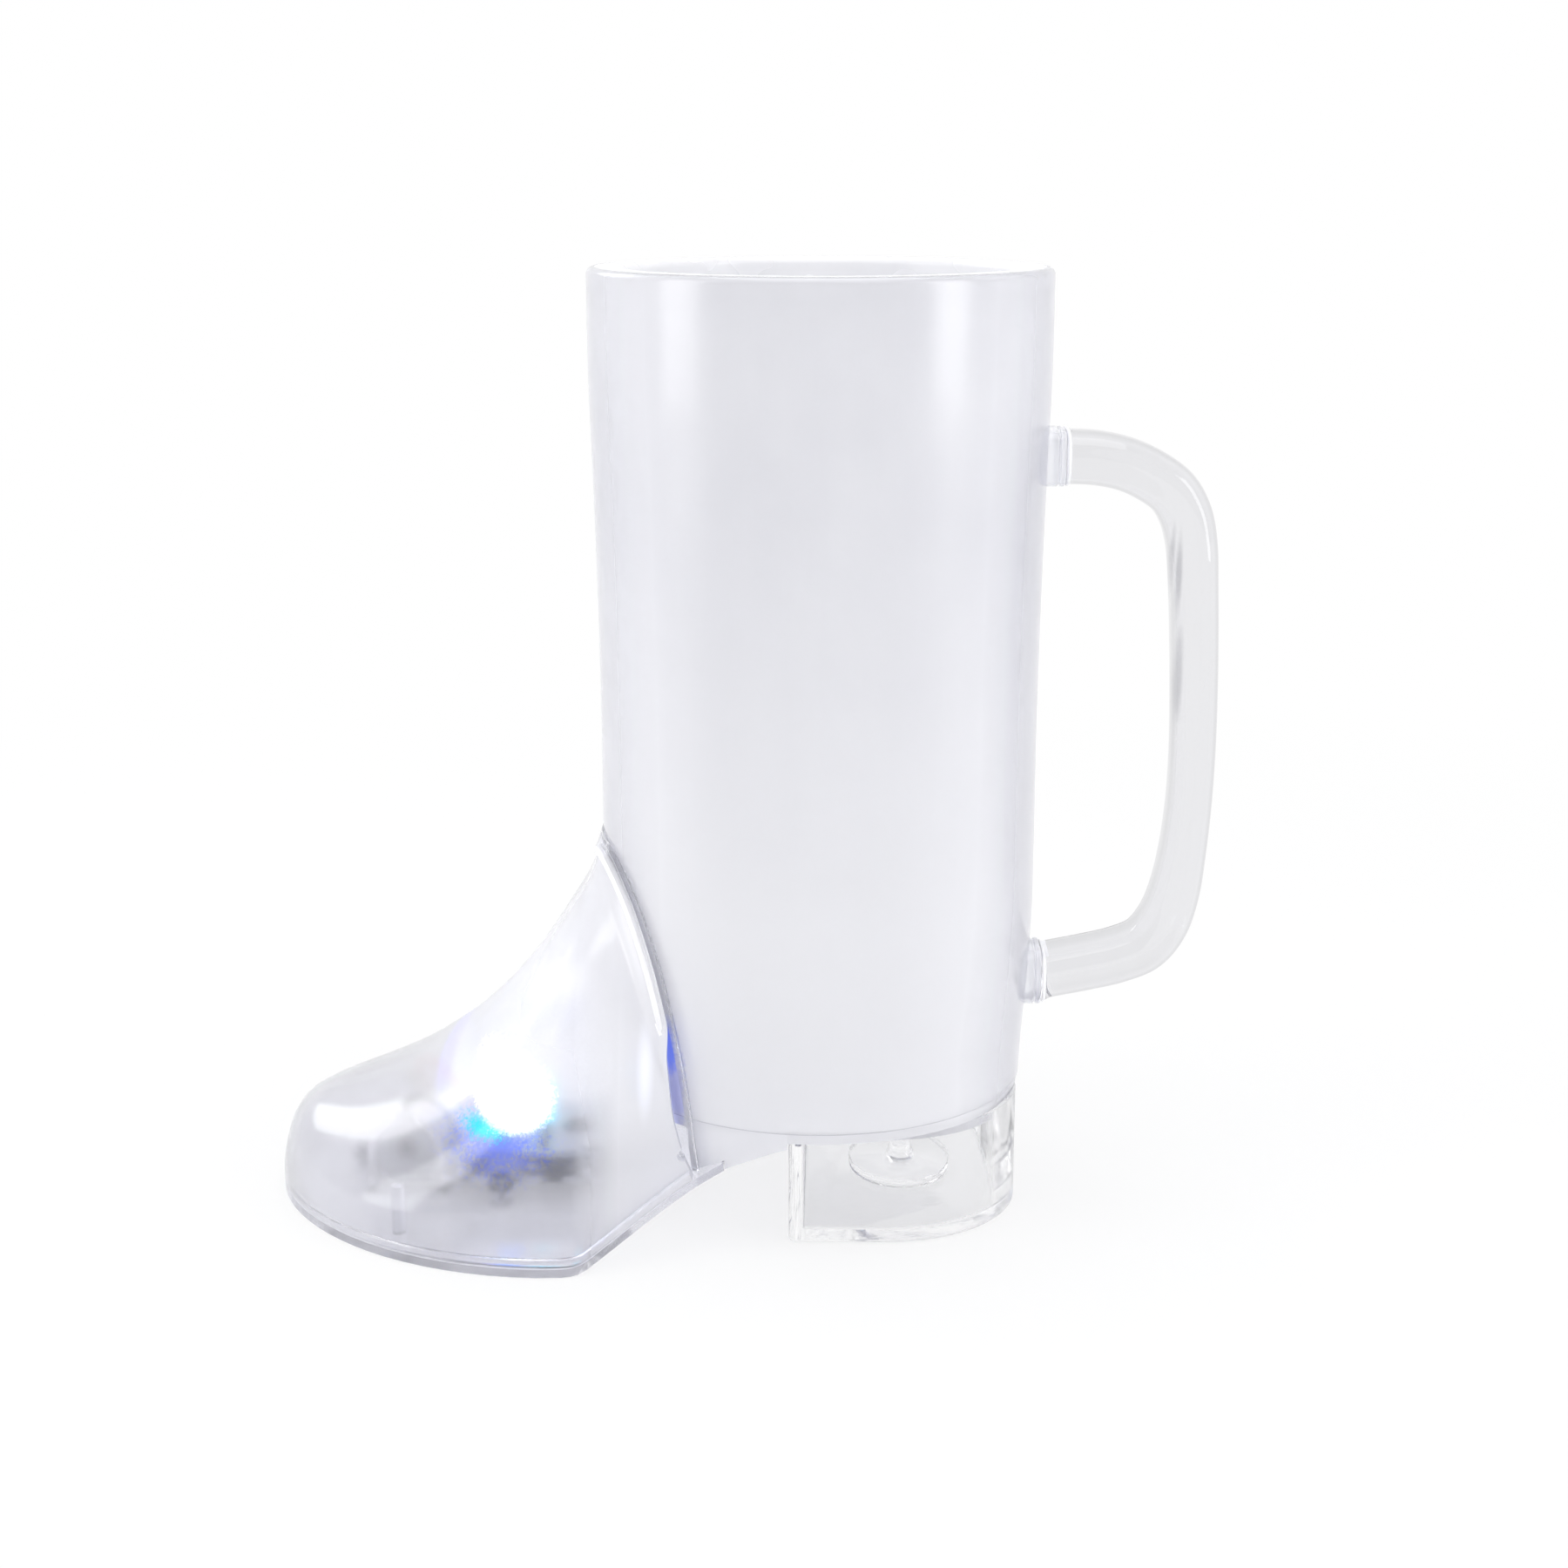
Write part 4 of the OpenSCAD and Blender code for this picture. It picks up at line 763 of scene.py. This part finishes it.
def hood_z(s):
    """Height: 1 is the toe's, 2 the instep's."""
    return TOE_H * s if s <= 1 else TOE_H + (INSTEP_H - TOE_H) * (s - 1)


_along = [0.0]
for _a, _b in zip(HOOD, HOOD[1:]):
    _along.append(_along[-1] + math.hypot(TOE_X * (_b[1] - _a[1]), hood_z(_b[2]) - hood_z(_a[2])))
_hood = [curve(_along, [(row[j] if j != 2 else hood_z(row[2])) for row in HOOD]) for j in range(5)]
_index = curve(_along, list(range(len(HOOD))))


def foot_half(x):
    """Half the hood's width at its foot, x in front of the shaft's axis."""
    s = FLOOR_R + HOOD_WALL + LAY
    return max(sole_half(-x) - FLANGE_W * (1 - x / TOE_X), math.sqrt(s * s - x * x) if x < FLOOR_R else 0)


def foot_ring(u, inset, steps=30):
    """Section of the hood at length u from the toe, moved in by the inset."""
    at_foot, at_top, top_z, power, cut_off = (h(u) for h in _hood)
    at = -TOE_X * at_foot
    base = (at + inset * max(0, 1 - _index(u) / 8), arch_z(at) + HOOD_LOW)
    run = (-TOE_X * at_top - (at - base[0]) - base[0], top_z - base[1])
    length = math.hypot(*run)
    rise = (run[0] / length, run[1] / length)
    length = max(0.2, length - inset)
    foot = max(0.2, foot_half(-at) - inset)
    cut_share = min(1 - cut_off, 0.999)
    turn = math.asin(cut_share ** (power / 2))
    side = [(foot, -2 * HOOD_LOW)] if inset > 0 else []
    for i in range(steps + 1):
        share = math.sin(turn * i / steps) ** (2 / power)
        side.append((foot * max(0, 1 - share ** power) ** (1 / power), length * share / cut_share))
    left = [(base[0] + rise[0] * b, a, base[1] + rise[1] * b) for a, b in side]
    return left + [(x, -y, z) for x, y, z in reversed(left)]


def foot_solid(name, inset, n=150):
    last = _along[-1]
    return loft(name, [foot_ring(last * i / n, inset) for i in range(n + 1)])


def slab(name, layers, rear, n=110, bend=60):
    """Plate that follows the sole's underside. layers: (height, how much narrower) from the bottom up."""
    xs = [-rear - (ARCH_START + 4 - rear) * i / bend for i in range(bend)]
    start = xs[-1] - (ARCH_START + 4 - rear) / bend
    xs += [start - (TOE_X + start) * math.sin(math.pi / 2 * i / n) for i in range(n + 1)]
    rings = []
    for height, less in layers:
        side = []
        for x in xs:
            half = max(sole_half(x), 0)
            slope = (sole_half(x + 0.01) - sole_half(min(-1, x - 0.01))) / 0.02 if x > -TOE_X + 0.02 else 1e3
            lean = 1 / math.sqrt(1 + slope * slope)
            px = min(x + less * (1 - lean), -rear)
            side.append((px, max(0.0, half - less * lean)))
        side[-1] = (side[-1][0], 0.0)
        rings.append([(x, y, arch_z(x) + height) for x, y in side]
                     + [(x, -y, arch_z(x) + height) for x, y in reversed(side[:-1])])
    m = len(rings[0])
    verts = [p for r in rings for p in r]
    faces = [[m * i + k, m * i + (k + 1) % m, m * (i + 1) + (k + 1) % m, m * (i + 1) + k]
             for i in range(len(rings) - 1) for k in range(m)]
    for base in (0, m * (len(rings) - 1)):
        for k in range(m // 2):
            q = [base + k, base + k + 1, base + m - 2 - k, base + m - 1 - k]
            faces.append([v for j, v in enumerate(q) if v not in q[:j]])
    return make(name, verts, faces)


def soft_layers(low, high, r, n=4):
    """Layers of a slab whose lower and upper edges are rounded."""
    turns = [math.pi / 2 * i / n for i in range(n + 1)]
    return ([(low + r - r * math.cos(a), r - r * math.sin(a)) for a in turns]
            + [(high - r + r * math.sin(a), r - r * math.cos(a)) for a in turns])


hood = foot_solid("hood", 0)
join(hood, slab("flange", soft_layers(SOLE_T + 0.06, HOOD_LOW + 0.5, 0.5), TUCK_X))
welt = keep(skin("welt", LAY, HOOD_WALL + LAY, arch_z(SEAM_FOOT) + HOOD_LOW, INSTEP_H * 1.01),
            prism("welt_cut", strip(0, WELT_W, SEAM_GAP), -THROUGH, THROUGH))
join(hood, welt)
cut(hood, foot_solid("hood_room", HOOD_WALL))


def seam_place(i, front, lift):
    """Point over the shaft's skin beside the seam, on the near side (y up to 0)."""
    x = seam[i][0] + front * seam_normal(i)[0] - SEAM_GAP * bow[i]
    z = seam[i][1] + front * seam_normal(i)[1]
    r = skin_r(z) + lift
    return Vector((x, -math.sqrt(max(0.0, r * r - x * x)), z))


# Raised bead along the welt, from the far side over the instep to the near side, thin at both ends
bead = [p for p in (seam_place(i, BEAD_FRONT, BEAD_LIFT) for i in range(3, SEAM_N - 4)) if p.y < -0.6]
bead = [Vector((p.x, -p.y, p.z)) for p in reversed(bead)] + bead
BEAD_TURNS = [2 * math.pi * k / 20 for k in range(20)]
BEAD_TAPER = 8  # rings
bead_rings = []
for i, p in enumerate(bead):
    way = (bead[min(len(bead) - 1, i + 1)] - bead[max(0, i - 1)]).normalized()
    across = way.cross(Vector((p.x, p.y, 0)).normalized()).normalized()
    out = across.cross(way)
    size = 0.25 + 0.75 * min(1, i / BEAD_TAPER, (len(bead) - 1 - i) / BEAD_TAPER)
    bead_rings.append([tuple(p + (across * math.cos(a) * BEAD_HALF_W + out * math.sin(a) * BEAD_HALF_T) * size)
                       for a in BEAD_TURNS])
cut(hood, lathe("shaft_room", [(0, -2), (FLOOR_R + LAY, -2)] + shaft_rows(SHAFT_LOW, LIP_Z, 90, -LAY)
                + [(0, LIP_Z)]))
cut(hood, prism("behind", [(seam[i][0] - SEAM_GAP * bow[i], seam[i][1]) for i in range(SEAM_N)]
                + [(0, -3), (WIDE, -3), (WIDE, WIDE), (seam[0][0], WIDE)], -WIDE, WIDE))
join(hood, keep(loft("bead", bead_rings), block("above", arch_z(SEAM_FOOT) + HOOD_LOW, FAR)))
vent = rod("vent", VENT_R, -THROUGH, THROUGH, 48)
vent.data.transform(Matrix.Rotation(math.pi / 2, 4, "X"))
vent_place = Vector((seam[-8][0] - 0.2 - VENT_R * 1.8, 0, INSTEP_H * 0.19 + VENT_LIFT))
vent.data.transform(Matrix.Translation(vent_place * MM))
cut(hood, vent)
piece(hood, "frosted_plastic", hood_mat, "foot_shell")
# Faces of the welt bead get the white, a painted highlight
hood.data.materials.append(bead_white_and_highlight_mat.mat)
BEAD_STEPS = 6
bead_line = KDTree(BEAD_STEPS * len(bead))
for i, p in enumerate(bead[:-1]):
    for k in range(BEAD_STEPS):
        bead_line.insert(p.lerp(bead[i + 1], k / BEAD_STEPS), i)
bead_line.balance()
for face in hood.data.polygons:
    if bead_line.find(face.center / MM)[2] < BEAD_REACH:
        face.material_index = 1

# Heel: soft outer edges, hollow above its plate, shallow dimple below and a raised disc with a nub above
EDGE_TURNS = [math.pi * i / 12 for i in range(7)]
heel_layers = ([(HEEL_SOFT - HEEL_SOFT * math.cos(a), HEEL_SOFT - HEEL_SOFT * math.sin(a)) for a in EDGE_TURNS]
               + [(HEEL_H - 0.25, 0), (HEEL_H - 0.07, 0.07), (HEEL_H, 0.25)])
room_layers = [(PLATE, 0.9), (PLATE + 0.12, 0.45), (PLATE + 0.45, 0.12), (PLATE + 0.9, 0), (HEEL_H + 2, 0)]
heel = loft("heel", [[(x, y, z) for x, y in heel_points(less)] for z, less in heel_layers])
cut(heel, loft("heel_room", [[(x, y, z) for x, y in heel_points(HEEL_WALL + less)] for z, less in room_layers]))
mid = ((HEEL_BACK - BREAST_X) / 2, 0)
dimple = lathe("dimple", [(0, -1), (DIMPLE_R, -1), (DIMPLE_R, DIMPLE_T - 0.5), (DIMPLE_R - 0.15, DIMPLE_T - 0.15),
                          (DIMPLE_R - 0.5, DIMPLE_T), (0, DIMPLE_T)], 192, mid)
disc_top = PLATE + DIMPLE_T
nub_top = disc_top + NUB_H
nub = lathe("nub", [(0, DIMPLE_T + 0.2), (DIMPLE_R, DIMPLE_T + 0.2), (DIMPLE_R, disc_top - 0.45),
                    (DIMPLE_R - 0.13, disc_top - 0.13), (DIMPLE_R - 0.45, disc_top), (NUB_R * 1.4 + 0.5, disc_top),
                    (NUB_R * 1.4 + 0.1, disc_top + 0.2), (NUB_R * 1.3, disc_top + 0.8), (NUB_R, nub_top - 0.35),
                    (NUB_R - 0.12, nub_top - 0.1), (NUB_R - 0.4, nub_top), (0, nub_top)], 192, mid)
cut(heel, dimple)
join(heel, nub)
piece(heel, "clear_plastic", heel_mat, "heel_block", angle=35)

# Sole plate, carrier, door and light unit keep the CAD part's own surfaces
steel = solid("cell_steel", (0.86, 0.87, 0.88), (0.93, 0.94, 0.95), 0.50, 0.55, (1400, 0.25, 0.00004), (1, 0.1, 1))
brass = solid("contact_brass", (0.62, 0.50, 0.28), (0.78, 0.66, 0.40), 0.30, 1.0)
black = solid("dark_plastic", (0.10, 0.10, 0.11), (0.16, 0.16, 0.17), 0.45)
screw = solid("screw_steel", (0.52, 0.53, 0.55), (0.70, 0.71, 0.73), 0.28, 1.0)

# The negative contact is darker in its middle
spring = solid("contact_steel", (0.78, 0.78, 0.80), (0.86, 0.86, 0.88), 0.5, 0.3)
low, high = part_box("contact_negative")
spot = blob(spring, (low[0] + high[0]) / 2 / MM, (low[2] + high[2]) / 2 / MM - 0.8, 1.5, 1.9, 0.8)
bare = spring.bsdf.inputs["Base Color"].links[0].from_socket
spring.feed("Base Color", layer(spring, bare, (0.20, 0.20, 0.21), spot))

NODES = {
    "sole_plate": sole_mat, "module_base": carrier_mat, "battery_door": clear_mat,
    "battery_cells": steel, "contact_positive": brass, "contact_negative": spring,
    "switch_body": black, "resistors": black, "door_screw": screw, "base_screws": screw, "board_screws": screw,
    "circuit_board": solid("solder_mask", (0.38, 0.40, 0.44), (0.46, 0.48, 0.52), 0.35, coat=0.4),
    "switch_plunger": solid("white_plastic", (0.76, 0.76, 0.74), (0.84, 0.84, 0.82), 0.4),
    "push_button": solid("button_plastic", (0.78, 0.79, 0.83), (0.86, 0.87, 0.90), 0.3),
    "controller_chip": solid("black_resin", (0.015, 0.015, 0.018), (0.03, 0.03, 0.035), 0.18, coat=0.6),
    "wire_red": solid("red_wire", (0.45, 0.03, 0.03), (0.62, 0.06, 0.05), 0.35),
    "wire_black": solid("black_wire", (0.02, 0.02, 0.022), (0.04, 0.04, 0.045), 0.35),
    "door_seal": solid("seal_rubber", (0.06, 0.06, 0.065), (0.12, 0.12, 0.13), 0.7),
    "led_blue": lens("blue_lens", (0.2, 0.35, 1.0), (0.15, 0.35, 1.0), 1.2),
    "led_cyan": lens("cyan_lens", (0.1, 0.75, 0.95), (0.15, 0.8, 1.0), 0.8),
    "led_violet": lens("violet_lens", (0.5, 0.4, 1.0), (0.4, 0.3, 1.0), 1.2)}
for name, mat in NODES.items():
    dress(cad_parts[name], mat)

# Floor: pale, and white further off, for the rays that see the backdrop
FLOOR_SIZE, FLOOR_TOP, FLOOR_LOW = 6000, -0.2, -20.2
floor = prism("floor", [(-FLOOR_SIZE, -FLOOR_SIZE), (FLOOR_SIZE, -FLOOR_SIZE), (FLOOR_SIZE, FLOOR_SIZE),
                        (-FLOOR_SIZE, FLOOR_SIZE)], FLOOR_LOW, FLOOR_TOP, "Z")
floor_mat = Mat("floor")
floor_mat.feed("Base Color",
               floor_mat.ramp(floor_mat.noise(3, 3), (0.3, (0.90, 0.90, 0.90)), (0.7, (0.92, 0.92, 0.92))))
floor_mat.set(Roughness=0.9, Specular_IOR_Level=0.1)
white = floor_mat.node("Emission", Color=(1, 1, 1, 1), Strength=1.0)
white_share = floor_mat.math("MULTIPLY", floor_mat.seen(),
                             floor_mat.spread(floor_mat.length(floor_mat.coord), 0.15, 0.45, 0.75, 1.0))
floor_mat.link(floor_mat.mix_shaders(white_share, floor_mat.bsdf.outputs[0], white.outputs[0]),
               floor_mat.out.inputs[0])
dress(floor, floor_mat)

# World: soft light on the object, and a backdrop that gloss and glass show too. The backdrop is white behind the
# object and greyer on the side that the photographer stands on, and white all round for the camera
world = bpy.data.worlds.new("studio")
bpy.context.scene.world = world
world.use_nodes = True
sky = Nodes(world.node_tree)
sky_out = sky.node("OutputWorld")
soft = sky.node("Background", Color=(0.98, 0.985, 1.0, 1), Strength=0.70)
backdrop = sky.node("Background", Strength=1.0)
depth = sky.split(sky.node("TexCoord").outputs["Generated"])["Y"]
sky.link(sky.math("MAXIMUM", sky.spread(depth, -0.25, 0.45, 0.35, 1.0),
                  sky.node("LightPath").outputs["Is Camera Ray"]), backdrop.inputs[0])
sky.link(sky.mix_shaders(sky.seen(), soft.outputs[0], backdrop.outputs[0]), sky_out.inputs[0])


def lamp(name, place, target, wide, tall, power):
    """Area lamp. Places and sizes in metres, power in watts."""
    data = bpy.data.lights.new(name, "AREA")
    data.shape, data.size, data.size_y, data.energy = "RECTANGLE", wide, tall, power
    o = bpy.data.objects.new(name, data)
    bpy.context.scene.collection.objects.link(o)
    o.location = place
    o.rotation_euler = (Vector(target) - Vector(place)).to_track_quat("-Z", "Y").to_euler()


# Two tall strips give the shaft its two vertical highlights
lamp("strip_left", (-0.95, -0.34, 0.40), (0, 0, 0.12), 0.40, 0.8, 2.9)
lamp("strip_right", (0.93, -0.44, 0.40), (0, 0, 0.12), 0.36, 0.8, 3.2)
lamp("top", (0.0, -0.1, 1.1), (0, 0, 0.08), 0.9, 0.9, 3.6)
lamp("behind", (-0.75, 0.62, 0.62), (-0.06, 0, 0.04), 0.45, 0.4, 1.6)

scene = bpy.context.scene
scene.view_settings.view_transform = "Standard"
BOUNCES = 24  # light passes many walls of clear plastic
scene.cycles.transparent_max_bounces = BOUNCES
scene.cycles.max_bounces = scene.cycles.transmission_bounces = scene.cycles.glossy_bounces = BOUNCES
